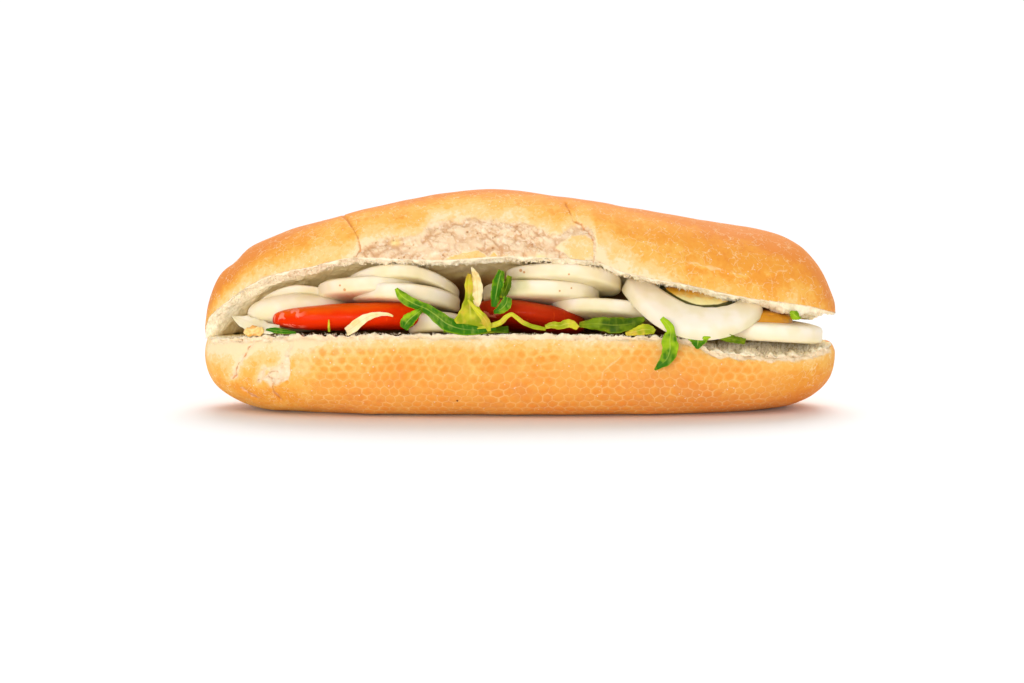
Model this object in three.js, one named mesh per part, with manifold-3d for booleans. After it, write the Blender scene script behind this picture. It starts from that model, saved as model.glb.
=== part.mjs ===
// Egg sandwich in a long white roll: the roll is cut along its front and both ends and opened like
// a book at the back, with sliced boiled egg, tomato and salad leaves in the mouth.
// Millimetres. +X runs along the roll, -Y is the open front, +Z is up.
// The origin is on the underside of the roll, under the middle of its bounding box.

import * as THREE from "three";
import { ParametricGeometry } from "three/addons/geometries/ParametricGeometry.js";
import { mergeVertices } from "three/addons/utils/BufferGeometryUtils.js";
import Module from "manifold-3d";

const wasm = await Module();
wasm.setup();

// The roll
const ROLL_HALF_LENGTH = 110;
const PLAN_EXPONENT = 2.6; // superellipse outline of the roll from above: 2 is an ellipse
const BASE_HALF_WIDTH = 37;
const CROWN_HALF_WIDTH = 35.5;
const CROWN_SET_BACK = 0.5; // the crown's middle line lies this far behind the base's
const BREAD_GAP = 0.3; // between the two halves where they meet along the back

// The base
const CORNER_HEIGHT = 20; // height of the round lower edge
const CORNER_REACH_END = 32; // how far that edge runs in under the ends
const CORNER_REACH_SIDE = 19; // and under the long sides
const CORNER_EXPONENT = 2.5;
const RIM_TURN_IN = 1.2; // the cut edge stands this far inside the widest line

// Heights along the roll, as [x, height] pairs that a smooth curve passes through
const BASE_FRONT_RIM = [
  [-110, 25], [-89, 27.7], [-41, 29.5], [47, 28.8], [58, 26.8], [67, 23.2], [84, 21.2], [96, 20.6], [110, 22.8],
];
const BASE_BACK_RIM = [[-110, 25], [-60, 24], [60, 24], [110, 22.8]];
const CROWN_FRONT_RIM = [
  [-110, 27], [-107, 33], [-99, 40], [-93, 44.4], [-84, 48.6], [-71, 51.6], [-57, 54.8], [-27, 54.2],
  [-7, 55.4], [8, 55.1], [25, 53.6], [36, 49.8], [57, 45.4], [77, 40.9], [99, 37.2], [110, 33.5],
];
const CROWN_BACK_LIFT = [[-110, BREAD_GAP], [60, BREAD_GAP], [84, 3], [97, 7], [110, 10.7]];
const SKYLINE = [
  [-110, 60], [-100, 59.5], [-91, 61.3], [-77, 64.9], [-60, 68.8], [-36, 73.4], [-12, 76.2], [8, 74.6],
  [28, 72], [80, 65], [94, 63], [101, 60.8], [106, 56.5], [110, 49],
];
const END_DENT = { x: -99.5, depth: 2.2, reach: 3.5 }; // a pinch across the knob at the left end
// How far across the roll the cut has opened, as [x, share]: 1 would be the whole way to the back
// edge, 0 is the middle line. At its left end the roll is still closed but for the front corner.
const OPENED = [[-110, -0.5], [-107, -0.4], [-100, 0.1], [-93, 0.45], [-79, 0.75], [-60, 0.86], [110, 0.86]];
const CUT_SLOPE = 0.575; // the cut reaches the height of the front rim before the rim itself
const CROWN_HOLLOW = 8; // how far the fillings have pressed up into the crown's crumb
const CROWN_LIP = 0.3; // share of the crown's cut face, from its edge in, that they haven't reached
const BASE_HOLLOW = [[-110, 0], [-90, 2.5], [-60, 4.5], [40, 4.5], [60, 2], [76, -4], [100, -4], [110, 0]];

const CROWN_SIDE_EXPONENT = 2.3; // section across the roll
const CROWN_END_EXPONENT = 2.5; // section at the two ends
const CROWN_LEAN = 0.8; // share of the opening tilt that moves the dome back
const CROWN_APEX = 0.95; // the tilted dome is this much as high over its middle as at its highest

// The torn front of the crown, where the crust has come off the crumb
const TORN = {
  from: -56, to: 22, edge: 8, // along the roll, and how gradually it starts and stops
  top: 67.5, bow: 0.004, topEdge: 3, // its upper edge is highest in the middle
  depth: 1.5, lump: 0.7, // how deep it lies, and how much of that the lumps of crumb make up
};

const AROUND_ROLL = 72; // points round the outline
const FILLING_GAP = 0.3; // between pieces that lie against each other

const CRUST = { color: 0xe9a551, roughness: 0.62, metalness: 0 };
const EGG_WHITE = { color: 0xf1ecd2, roughness: 0.32, metalness: 0 };
const YOLK = { color: 0xd9b84a, roughness: 0.5, metalness: 0 };
const TOMATO = { color: 0xc8230c, roughness: 0.22, metalness: 0 };
const LEAF_GREEN = { color: 0x5c9a1c, roughness: 0.4, metalness: 0 };
const LEAF_DARK = { color: 0x35700f, roughness: 0.4, metalness: 0 };
const LEAF_YELLOW = { color: 0xb4bd2c, roughness: 0.4, metalness: 0 };
const LEAF_PALE = { color: 0xe8d9a0, roughness: 0.4, metalness: 0 };

const clamp01 = (t) => Math.min(1, Math.max(0, t));
const smooth = (t) => clamp01(t) ** 2 * (3 - 2 * clamp01(t));
const mix = (a, b, t) => a + (b - a) * t;
const degrees = THREE.MathUtils.degToRad;

// A smooth curve through [x, value] pairs, flat beyond its ends: cubic pieces whose slope at each
// point is that of the line between its two neighbours.
function curveThrough(pairs) {
  const last = pairs.length - 1;
  const slope = pairs.map((_, i) => {
    const [before, after] = [pairs[Math.max(0, i - 1)], pairs[Math.min(last, i + 1)]];
    return (after[1] - before[1]) / (after[0] - before[0]);
  });
  return (x) => {
    if (x <= pairs[0][0]) return pairs[0][1];
    if (x >= pairs[last][0]) return pairs[last][1];
    const i = pairs.findIndex((pair, k) => k < last && x < pairs[k + 1][0]);
    const width = pairs[i + 1][0] - pairs[i][0];
    const t = (x - pairs[i][0]) / width;
    const rise = pairs[i + 1][1] - pairs[i][1];
    const eased = t * t * (3 - 2 * t);
    return pairs[i][1] + rise * eased
      + width * t * (1 - t) * (slope[i] * (1 - t) - slope[i + 1] * t);
  };
}

const baseFront = curveThrough(BASE_FRONT_RIM);
const baseBack = curveThrough(BASE_BACK_RIM);
const crownFront = curveThrough(CROWN_FRONT_RIM);
const crownBackLift = curveThrough(CROWN_BACK_LIFT);
const crownBack = (x) => baseBack(x) + crownBackLift(x);
const skyline = curveThrough(SKYLINE);
const baseHollow = curveThrough(BASE_HOLLOW);
const opened = curveThrough(OPENED);

// Twice the signed volume decides which way the faces of a closed mesh point.
function facesOut(geometry) {
  const p = geometry.attributes.position;
  const order = geometry.index.array;
  const [a, b, c] = [new THREE.Vector3(), new THREE.Vector3(), new THREE.Vector3()];
  let volume = 0;
  for (let i = 0; i < order.length; i += 3) {
    a.fromBufferAttribute(p, order[i]);
    b.fromBufferAttribute(p, order[i + 1]);
    c.fromBufferAttribute(p, order[i + 2]);
    volume += a.dot(b.cross(c));
  }
  if (volume < 0) {
    for (let i = 0; i < order.length; i += 3) {
      [order[i + 1], order[i + 2]] = [order[i + 2], order[i + 1]];
    }
  }
  return geometry;
}

// A geometry with its seams and poles merged, the collapsed triangles dropped and its faces outward.
function closed(geometry) {
  geometry.deleteAttribute("normal");
  geometry.deleteAttribute("uv");
  const merged = mergeVertices(geometry, 1e-3);
  const kept = [];
  const order = merged.index.array;
  for (let i = 0; i < order.length; i += 3) {
    const [a, b, c] = [order[i], order[i + 1], order[i + 2]];
    if (a !== b && b !== c && a !== c) kept.push(a, b, c);
  }
  merged.setIndex(kept);
  return facesOut(merged);
}

const closedSurface = (point, around, along) => closed(new ParametricGeometry(point, around, along));

// Unit pairs (across, forward) round the plan outline, evenly spaced by length on the real outline
// and mirrored from one quarter to the others, so that the middle line of the roll closes.
function evenOutline(around) {
  const quarter = around / 4;
  const samples = 2000;
  const at = (angle) => [
    Math.cos(angle) ** (2 / PLAN_EXPONENT),
    Math.sin(angle) ** (2 / PLAN_EXPONENT),
  ];
  const length = [0];
  for (let i = 1; i <= samples; i++) {
    const [p, q] = [at(((i - 1) / samples) * (Math.PI / 2)), at(Math.min(i / samples, 1) * (Math.PI / 2))];
    const step = Math.hypot((q[0] - p[0]) * ROLL_HALF_LENGTH, (q[1] - p[1]) * BASE_HALF_WIDTH);
    length.push(length[i - 1] + step);
  }
  const first = [];
  for (let k = 0; k <= quarter; k++) {
    const wanted = (length[samples] * k) / quarter;
    const i = k === quarter ? samples : Math.max(0, length.findIndex((l) => l >= wanted));
    first.push(k === 0 ? [1, 0] : k === quarter ? [0, 1] : at((i / samples) * (Math.PI / 2)));
  }
  return (k) => {
    const turn = Math.floor(k / quarter) % 4;
    const step = k % quarter;
    const [c, s] = turn % 2 === 0 ? first[step] : first[quarter - step];
    return [turn === 0 || turn === 3 ? c : -c, turn < 2 ? s : -s];
  };
}
const outline = evenOutline(AROUND_ROLL);

// A body of the roll from a list of stations. Each station is a closed ring: it maps a unit pair
// of the plan outline to a point, and the first and last ring lie on the roll's middle line.
function ringBody(stations) {
  const along = stations.length - 1;
  return closedSurface((u, v, target) => {
    const [c, s] = outline(Math.round(u * AROUND_ROLL) % AROUND_ROLL);
    target.set(...stations[Math.round(v * along)](c, s));
  }, AROUND_ROLL, along);
}

// 1 on the roll's middle line and 0 on its outline.
function inside(x, y, halfWidth) {
  const [across, forward] = [Math.abs(x) / ROLL_HALF_LENGTH, Math.abs(y) / halfWidth];
  return clamp01(1 - across ** PLAN_EXPONENT - forward ** PLAN_EXPONENT);
}

// The plane of the cut through the roll, from the back rim of the base to its front rim.
function cutPlane(x, y) {
  const toFront = smooth(CUT_SLOPE * (1 - y / BASE_HALF_WIDTH));
  return mix(baseBack(x), baseFront(x), toFront);
}

// Cut face of the base: that plane, pressed down in the middle.
const baseCut = (x, y) => cutPlane(x, y) - baseHollow(x) * inside(x, y, BASE_HALF_WIDTH);

// Lower edge of the crown: along the cut at the back, and rising evenly from where the cut has
// opened to the front rim.
function crownChord(x, y) {
  const atEnd = clamp01(Math.abs(x) / ROLL_HALF_LENGTH) ** PLAN_EXPONENT;
  const edge = CROWN_HALF_WIDTH * (1 - atEnd) ** (1 / PLAN_EXPONENT);
  const across = edge > 0 ? Math.max(-1, Math.min(1, (y - CROWN_SET_BACK) / edge)) : 0;
  const raised = clamp01((opened(x) - across) / (opened(x) + 1));
  return mix(cutPlane(x, y) + crownBackLift(x), crownFront(x), raised);
}

// The plane that the dome of the crown stands on: back rim to front rim over the whole width.
function crownPlane(x, y) {
  const forward = 0.5 - (y - CROWN_SET_BACK) / (2 * CROWN_HALF_WIDTH);
  return mix(crownBack(x), crownFront(x), clamp01(forward));
}

// Underside of the crown: its opened plane, hollowed by the fillings.
function crownCut(x, y) {
  const within = inside(x, y - CROWN_SET_BACK, CROWN_HALF_WIDTH);
  return crownChord(x, y) + CROWN_HOLLOW * clamp01((within - CROWN_LIP) / (1 - CROWN_LIP)) ** 0.8;
}

// The crown's height over its own cut that lifts the tilted dome to the skyline.
function domeHeight(x) {
  const rise = crownFront(x) - crownBack(x);
  const tilt = Math.atan2(rise, 2 * CROWN_HALF_WIDTH);
  const middle = (crownFront(x) + crownBack(x)) / 2;
  const above = skyline(x) - middle;
  const sideways = CROWN_HALF_WIDTH * Math.sin(tilt);
  const dent = END_DENT.depth * Math.exp(-(((x - END_DENT.x) / END_DENT.reach) ** 2));
  return (CROWN_APEX * Math.sqrt(above ** 2 - sideways ** 2)) / Math.cos(tilt) - dent;
}

// How far the torn front lies behind the whole crust, with the lumps of the bare crumb.
function tornAway(x, z) {
  const middle = (TORN.from + TORN.to) / 2;
  const along = smooth((x - TORN.from) / TORN.edge) * smooth((TORN.to - x) / TORN.edge);
  const up = smooth((TORN.top - TORN.bow * (x - middle) ** 2 - z) / TORN.topEdge);
  const lumps = Math.sin(x / 2.4 + z / 3) * Math.cos(z / 1.9 - x / 7);
  return along * up * (TORN.depth + TORN.lump * lumps);
}

function breadBase() {
  const stations = [];
  const ring = (insetX, insetY, height) => stations.push((c, s) => {
    const x = (ROLL_HALF_LENGTH - insetX) * c;
    const y = (BASE_HALF_WIDTH - insetY) * s;
    return [x, y, height(x, y)];
  });
  for (const share of [1, 0.5]) {
    ring(
      mix(CORNER_REACH_END, BASE_HALF_WIDTH, share),
      mix(CORNER_REACH_SIDE, BASE_HALF_WIDTH, share),
      () => 0,
    );
  }
  const cornerSteps = 6;
  for (let i = 0; i <= cornerSteps; i++) {
    const angle = (i / cornerSteps) * (Math.PI / 2);
    const inset = 1 - Math.sin(angle) ** (2 / CORNER_EXPONENT);
    const height = CORNER_HEIGHT * (1 - Math.max(0, Math.cos(angle)) ** (2 / CORNER_EXPONENT));
    ring(CORNER_REACH_END * inset, CORNER_REACH_SIDE * inset, () => height);
  }
  const below = 0.4; // a ring this share of the way down from the cut edge to the round corner
  ring(RIM_TURN_IN * below, RIM_TURN_IN * below, (x, y) => mix(baseCut(x, y), CORNER_HEIGHT, below));
  const cutInsets = [RIM_TURN_IN, 4, 9, 16, 25, BASE_HALF_WIDTH];
  for (const inset of cutInsets) ring(inset, inset, baseCut);
  return ringBody(stations);
}

function breadCrown() {
  const stations = [];
  const undersideInsets = [CROWN_HALF_WIDTH, 25, 16, 9.5, 4.5, 1.2];
  for (const inset of undersideInsets) {
    stations.push((c, s) => {
      const x = (ROLL_HALF_LENGTH - inset) * c;
      const y = CROWN_SET_BACK + (CROWN_HALF_WIDTH - inset) * s;
      return [x, y, crownCut(x, y)];
    });
  }
  const domeSteps = 11;
  for (let i = 0; i <= domeSteps; i++) {
    const angle = (i / domeSteps) * (Math.PI / 2);
    stations.push((c, s) => {
      const exponent = mix(CROWN_SIDE_EXPONENT, CROWN_END_EXPONENT, Math.abs(c) ** 6);
      const out = Math.max(0, Math.cos(angle)) ** (2 / exponent);
      const x = (ROLL_HALF_LENGTH - CROWN_HALF_WIDTH * (1 - out)) * c;
      const planY = CROWN_SET_BACK + CROWN_HALF_WIDTH * out * s;
      const height = domeHeight(x) * Math.sin(angle) ** (2 / exponent);
      const tilt = Math.atan2(crownFront(x) - crownBack(x), 2 * CROWN_HALF_WIDTH);
      const foot = mix(crownChord(x, planY), crownPlane(x, planY), Math.sin(angle));
      const z = foot + height * Math.cos(tilt);
      const y = planY + height * Math.sin(tilt) * CROWN_LEAN;
      const recess = s < 0 ? tornAway(x, z) * smooth(-s * 3) * smooth(angle * 3) : 0;
      return [x, y + recess, z];
    });
  }
  return ringBody(stations);
}

// A slice as it lies in the mouth. Its own frame has x along the slice, y from the front lip to the
// back and z through its thickness; lip is where the middle of the front edge lies.
//   size: length, depth, thickness
//   tilt: degrees that the front lip is turned up, roll: degrees that the right end is turned down
//   droop: how far the front and the back edge hang below the slice's middle
//   hang: how far the left and the right end hang below its middle
//   rim: roundness of the edge, 2 is a full round, 5 is nearly square
//   plan: the same for its outline from above
//   taper: thickness at the left and the right end, as shares of the slice's own
//   flare: share by which the upper face is smaller than the lower
function slicePoint(slice, along, across, through, grow) {
  const [length, depth, thickness] = slice.size;
  const [thickLeft, thickRight] = slice.taper ?? [1, 1];
  const halfThick = (thickness / 2) * mix(thickLeft, thickRight, (along + 1) / 2);
  const spread = 1 - (slice.flare ?? 0) * ((through + 1) / 2);
  const x = (length / 2 + grow) * along * spread;
  const y = (depth / 2 + grow) * across * spread + depth / 2;
  const [front, back] = slice.droop ?? [0, 0];
  const [left, right] = slice.hang ?? [0, 0];
  const below = (across < 0 ? front : back) * across ** 2 + (along < 0 ? left : right) * along ** 2;
  const z = (halfThick + grow) * through - below + front;
  const [tilt, roll] = [degrees(-(slice.tilt ?? 0)), degrees(slice.roll ?? 0)];
  const turn = new THREE.Euler(tilt, roll, 0, "YXZ");
  return new THREE.Vector3(x, y, z).applyEuler(turn).add(new THREE.Vector3(...slice.lip));
}

// A round-edged disc: the rim section is a superellipse, carried round the slice's outline.
function sliceBody(slice, grow = 0) {
  const rim = slice.rim ?? 4.5;
  return closedSurface((u, v, target) => {
    const turn = u * Math.PI * 2;
    const angle = (v - 0.5) * Math.PI;
    const out = v === 0 || v === 1 ? 0 : Math.cos(angle) ** (2 / rim);
    const through = Math.sign(angle) * Math.abs(Math.sin(angle)) ** (2 / rim);
    const [c, s] = [Math.cos(turn), Math.sin(turn)];
    const square = (t) => Math.sign(t) * Math.abs(t) ** (2 / (slice.plan ?? 2));
    target.copy(slicePoint(slice, out * square(c), out * square(s), through, grow));
  }, slice.around ?? 20, slice.through ?? 6);
}

// A thin wavy strip along a path: both faces have the same grid of triangles.
//   path: points of the middle line, widths: its width at even steps along it
//   facing: the direction that the strip's face looks in
//   wave: how far its edges swing, waves: half swings along it, cup: how far its edges curl
function stripBody(strip, grow = 0) {
  const curve = new THREE.CatmullRomCurve3(strip.path.map((p) => new THREE.Vector3(...p)));
  const steps = strip.steps ?? 10;
  const lanes = 2;
  const facing = new THREE.Vector3(...(strip.facing ?? [0, -1, 0.15])).normalize();
  const width = curveThrough(strip.widths.map((w, i) => [i / (strip.widths.length - 1), w]));
  const halfThick = (strip.thickness ?? 0.9) / 2 + grow;
  const vertices = [];
  for (const side of [1, -1]) {
    for (let i = 0; i <= steps; i++) {
      const t = i / steps;
      const tangent = curve.getTangent(t);
      const across = new THREE.Vector3().crossVectors(tangent, facing).normalize();
      const normal = new THREE.Vector3().crossVectors(across, tangent).normalize();
      const longer = i === 0 ? -grow : i === steps ? grow : 0;
      const middle = curve.getPoint(t).addScaledVector(tangent, longer);
      for (let j = 0; j <= lanes; j++) {
        const share = j / lanes - 0.5;
        const edge = Math.abs(share) * 2;
        const swing = edge * Math.sin(t * Math.PI * (strip.waves ?? 3) + share * 3);
        const lift = (strip.wave ?? 0.7) * swing + (strip.cup ?? 0) * (edge ** 2 - 0.3);
        const point = middle.clone()
          .addScaledVector(across, share * (width(t) + 2 * grow))
          .addScaledVector(normal, lift + side * halfThick);
        vertices.push(point.x, point.y, point.z);
      }
    }
  }
  const row = lanes + 1;
  const under = row * (steps + 1); // the second face's vertices follow the first face's
  const order = [];
  const quad = (a, b, c, d) => order.push(a, b, c, a, c, d);
  for (let i = 0; i < steps; i++) {
    for (let j = 0; j < lanes; j++) {
      const a = i * row + j;
      quad(a, a + 1, a + row + 1, a + row);
      order.push(under + a, under + a + row + 1, under + a + 1);
      order.push(under + a, under + a + row, under + a + row + 1);
    }
    const [left, right] = [i * row, i * row + lanes];
    quad(left, left + row, left + row + under, left + under);
    quad(right, right + under, right + row + under, right + row);
  }
  for (let j = 0; j < lanes; j++) {
    const [start, end] = [j, steps * row + j];
    quad(start, start + under, start + 1 + under, start + 1);
    quad(end, end + 1, end + 1 + under, end + under);
  }
  const geometry = new THREE.BufferGeometry();
  geometry.setAttribute("position", new THREE.Float32BufferAttribute(vertices, 3));
  geometry.setIndex(order);
  return facesOut(geometry);
}

const solidOf = (geometry) => new wasm.Manifold(new wasm.Mesh({
  numProp: 3,
  vertProperties: new Float32Array(geometry.attributes.position.array),
  triVerts: new Uint32Array(geometry.index.array),
}));

function geometryOf(solid) {
  const mesh = solid.getMesh();
  const geometry = new THREE.BufferGeometry();
  const points = new Float32Array(mesh.numVert * 3);
  for (let i = 0; i < mesh.numVert; i++) {
    const from = i * mesh.numProp;
    points.set(mesh.vertProperties.subarray(from, from + 3), i * 3);
  }
  geometry.setAttribute("position", new THREE.BufferAttribute(points, 3));
  geometry.setIndex(Array.from(mesh.triVerts));
  return geometry;
}

// What is left of a soft piece once the grown forms of its neighbours have been pressed into it.
function pressed(geometry, neighbours) {
  const soft = solidOf(geometry);
  const touching = neighbours.filter((n) => soft.intersect(n).volume() > 1e-4);
  if (!touching.length) return geometry;
  const left = touching.reduce((rest, n) => rest.subtract(n), soft);
  const bodies = left.decompose().sort((a, b) => b.volume() - a.volume());
  return geometryOf(bodies[0]);
}

// The fillings, each with its finish and its form grown by a given amount. They are listed in the
// order in which they keep their own shape: a later piece gives way to an earlier one.
const STRIPS = {
  leaf_01: {
    path: [[-42, -36.4, 44.9], [-39.4, -37, 41.9], [-35.6, -37, 39.7], [-31.6, -37.2, 38],
      [-27.8, -37.2, 35.4], [-24.5, -37.2, 32.9], [-19.7, -36.8, 31.2], [-13.6, -36.2, 30.8],
      [-8.2, -35.6, 31]],
    widths: [1.2, 3.6, 3.3, 3.4, 4.4, 4.8, 4.2, 2.8, 1.6], finish: LEAF_GREEN, steps: 16, wave: 0.5,
  },
  leaf_02: {
    path: [[-33.6, -38.6, 37.6], [-36.1, -38.8, 35.8], [-38.2, -38.6, 33.8], [-39.4, -38.2, 31.6]],
    widths: [1.6, 3.6, 4.4, 2.8], finish: LEAF_GREEN, steps: 7, wave: 0.5,
  },
  leaf_03: {
    path: [[-17.2, -33.6, 49.6], [-17.4, -34.6, 46], [-17.3, -35.4, 42], [-17, -36, 38], [-16.8, -36.2, 34.8],
      [-16.4, -36, 31.8]],
    widths: [1.2, 2.8, 2.8, 6.6, 10.4, 8], finish: LEAF_YELLOW, steps: 11, cup: 1,
  },
  leaf_04: {
    path: [[-16.4, -34.2, 52], [-15.1, -34.8, 49], [-14.5, -35.4, 45.6], [-14.4, -36, 42.2],
      [-14.8, -36.4, 38.8]],
    widths: [0.6, 2.5, 3.5, 3.3, 1.8], finish: LEAF_PALE, steps: 8, wave: 0.5,
  },
  leaf_05: {
    path: [[-17.6, -37.8, 41.2], [-16, -38.2, 39.2], [-14, -38.5, 37], [-12.3, -38.5, 35.2],
      [-11.2, -38.4, 33.2], [-10.5, -38, 30.6]],
    widths: [0.7, 1.3, 1.8, 2.5, 2.5, 1.2], finish: LEAF_YELLOW, steps: 9, wave: 0.3,
  },
  leaf_06: {
    path: [[-6.3, -34, 50.8], [-7.4, -35, 47], [-8.2, -35.6, 42.6], [-9, -35.8, 38.6]],
    widths: [2, 3.9, 3.6, 1.8], finish: LEAF_GREEN, steps: 8,
  },
  leaf_07: {
    path: [[-3.6, -34, 49], [-4.6, -35, 45.4], [-6.2, -36, 41.6]],
    widths: [1.6, 2.8, 2], finish: LEAF_DARK, steps: 6,
  },
  leaf_08: {
    path: [[-4.3, -37, 42], [-4.8, -37.6, 39.9], [-6.4, -37.4, 38.1], [-8.9, -37, 36.9]],
    widths: [2.6, 3.8, 3.2, 1.2], finish: LEAF_GREEN, steps: 7, wave: 0.4,
  },
  leaf_09: {
    path: [[-14.6, -36.2, 31.8], [-10, -36.6, 32.4], [-6.8, -37, 33.4], [-4.8, -37, 35.2], [-3.1, -37, 36.2],
      [-1.5, -37, 35.4], [0.4, -37, 33.8], [2.8, -37.2, 32.6], [5.6, -37.2, 31.8], [8.6, -37, 31.2]],
    widths: [1.4, 1.8, 1.8, 1.6, 1.4, 1.4, 1.5, 1.5, 1.5, 1], finish: LEAF_YELLOW, steps: 18, wave: 0.3,
  },
  leaf_10: {
    path: [[8.4, -36.8, 31.9], [10.8, -37, 32.6], [13.2, -37.2, 32.3], [15.4, -37, 33], [17.4, -36.8, 32.9],
      [19.4, -36.4, 31.4]],
    widths: [1.4, 2.2, 2.4, 2.8, 2.8, 1.6], finish: LEAF_YELLOW, steps: 11, wave: 0.5,
  },
  leaf_11: {
    path: [[20, -33.4, 32.4], [26, -35, 32.8], [31.6, -35.6, 32.4], [37, -35.4, 32.8], [42, -35, 34.4]],
    widths: [1.8, 4.2, 5.4, 4.4, 1.6], finish: LEAF_DARK, steps: 9,
  },
  leaf_12: {
    path: [[35.6, -37, 29.6], [38.4, -37.3, 30.2], [41, -37.4, 31], [43.4, -37.3, 31.1], [45.4, -37.2, 30.2]],
    widths: [1.2, 2.4, 3.6, 3.4, 1.6], finish: LEAF_YELLOW, steps: 7, wave: 0.5,
  },
  leaf_13: {
    path: [[47.6, -40.3, 35.3], [49.8, -40.5, 32.9], [50.7, -40.5, 30.8], [50.4, -40, 27.8],
      [50.5, -39.4, 24.5], [49.5, -39.2, 21.4], [47.4, -39.2, 19.4], [45.4, -39.2, 17.6]],
    widths: [1.7, 2.7, 3, 5.1, 5.4, 4.6, 2.6, 0.7], finish: LEAF_GREEN, steps: 14, wave: 0.3,
  },
  leaf_14: {
    path: [[60.1, -38, 29.2], [60, -38.2, 27], [59.7, -38, 24.6]],
    widths: [9, 5.4, 0.9], finish: LEAF_GREEN, steps: 5, wave: 0.3,
  },
  leaf_15: {
    path: [[66.4, -35, 29], [71.8, -35.4, 27.7], [76.2, -35.4, 26.8]],
    widths: [2.4, 2.6, 2], finish: LEAF_DARK, steps: 6,
  },
  leaf_16: {
    path: [[-86.6, -28, 30.1], [-83.6, -28.8, 30], [-80.2, -29.6, 29.6], [-76.4, -30, 29.3]],
    widths: [0.7, 1.9, 1.6, 0.8], finish: LEAF_GREEN, steps: 6, wave: 0.3,
  },
  leaf_17: {
    path: [[-64.8, -35.2, 34.2], [-64.8, -35.6, 32.4], [-64.7, -35.6, 30.2]],
    widths: [0.4, 0.7, 0.8], thickness: 0.7, finish: LEAF_YELLOW, steps: 4, wave: 0.1,
  },
  leaf_18: {
    path: [[92.4, -24, 36], [94, -24.4, 34.6], [95.6, -24.2, 33.4]],
    widths: [2.2, 3.4, 2.2], finish: LEAF_GREEN, steps: 5, wave: 0.3,
  },
  leaf_19: {
    path: [[-26, -35, 30.2], [-18, -35.4, 30.4], [-10, -35.2, 30.8], [-4, -34.6, 30.8]],
    widths: [1.4, 3, 3.4, 2], finish: LEAF_DARK, steps: 7, wave: 0.4, facing: [0, -0.7, 0.7],
  },
  leaf_rib: {
    path: [[-57, -36.4, 30.4], [-55.3, -37, 32.8], [-52.9, -37.3, 34.6], [-50.2, -37.4, 35.8],
      [-47.1, -37.2, 36.3], [-44.7, -37, 36.2], [-43.1, -36.6, 35.5]],
    widths: [4, 3.4, 2.9, 2.1, 1.4, 1, 0.5], thickness: 1.4, finish: LEAF_PALE, steps: 9, wave: 0.2,
    cup: 0.5,
  },
  egg_scrap: {
    path: [[-99, -15, 33.4], [-95.4, -18.6, 32.2], [-91, -22, 31], [-86, -25.4, 30.2], [-82, -27.4, 30.4]],
    widths: [0.8, 4.2, 5.4, 4.4, 2], thickness: 1.4, finish: EGG_WHITE, steps: 7, wave: 0.4,
    facing: [0, -0.85, 0.5],
  },
};

const SLICES = {
  egg_yolk_10: {
    lip: [60.2, -30.4, 34.9], size: [28.2, 23, 6.8], droop: [4.3, 3.2], roll: 9, rim: 3.5, finish: YOLK,
  },
  egg_slice_10: {
    lip: [57.6, -39.4, 29.6], size: [50.5, 42, 6.4], droop: [10.5, 8], hang: [-0.8, 0], roll: 9,
    flare: 0.08, around: 26, through: 8, finish: EGG_WHITE,
  },
  egg_yolk_11: { lip: [81.6, -25, 32.4], size: [25, 24, 8], tilt: 2, roll: 3, rim: 2.4, finish: YOLK },
  egg_slice_11: {
    lip: [84, -30, 29.2], size: [41.5, 38, 6.6], hang: [0, 1], tilt: 2, roll: 3, finish: EGG_WHITE,
  },
  tomato_slice_1: {
    lip: [-58.6, -34, 35.2], size: [54, 38, 9.6], taper: [0.82, 1.12], tilt: 6, roll: -1.5, rim: 3.4,
    plan: 3.2, finish: TOMATO,
  },
  tomato_slice_2: { lip: [3.6, -32, 37], size: [39, 38, 8.6], tilt: 13, roll: 8, rim: 3, finish: TOMATO },
  egg_slice_09: { lip: [30, -31, 38.7], size: [38, 34, 5.8], tilt: 13, roll: 4, finish: EGG_WHITE },
  egg_slice_05: {
    lip: [-39, -33, 43.8], size: [37, 35, 6.4], hang: [0, 2], tilt: 11, roll: 3, finish: EGG_WHITE,
  },
  egg_slice_06: {
    lip: [-27.6, -31, 33.3], size: [21.5, 24, 7], hang: [1, 2], tilt: 8, finish: EGG_WHITE,
  },
  egg_slice_08: { lip: [7.4, -31, 44.9], size: [40, 35, 6.6], tilt: 14, roll: 1, finish: EGG_WHITE },
  egg_slice_07: {
    lip: [15, -32, 51], size: [40, 36, 5.8], taper: [0.95, 1.15], hang: [0, 1.5], tilt: 16, roll: 2,
    finish: EGG_WHITE,
  },
  egg_slice_03: {
    lip: [-51.5, -30, 46.2], size: [37, 34, 6.4], hang: [0, 1], tilt: 14, roll: -2, finish: EGG_WHITE,
  },
  egg_slice_04: {
    lip: [-41, -29, 50.6], size: [41, 34, 5.6], hang: [4, 5.6], tilt: 15, roll: 1, finish: EGG_WHITE,
  },
  egg_slice_01: {
    lip: [-77, -26, 38], size: [34.5, 26, 12.5], tilt: 16, roll: -2, rim: 2.2, finish: EGG_WHITE,
  },
  egg_slice_02: {
    lip: [-76, -19, 43.2], size: [32, 24, 3.6], hang: [5, 4], tilt: 14, roll: -1, finish: EGG_WHITE,
  },
  yolk_scrap: {
    lip: [-90.8, -27.6, 29.4], size: [7.6, 5, 3.6], roll: -6, rim: 2, around: 12, finish: YOLK,
  },
};

const group = new THREE.Group();

function add(name, geometry, finish) {
  const mesh = new THREE.Mesh(geometry, new THREE.MeshStandardMaterial(finish));
  mesh.name = name;
  group.add(mesh);
}

const laid = [];
function layIn(name, body, piece) {
  add(name, pressed(body(piece), laid), piece.finish);
  laid.push(solidOf(body(piece, FILLING_GAP)));
}
for (const [name, strip] of Object.entries(STRIPS)) layIn(name, stripBody, strip);
for (const [name, slice] of Object.entries(SLICES)) layIn(name, sliceBody, slice);
add("bread_base", pressed(breadBase(), laid), CRUST);
add("bread_crown", pressed(breadCrown(), laid), CRUST);

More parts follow.
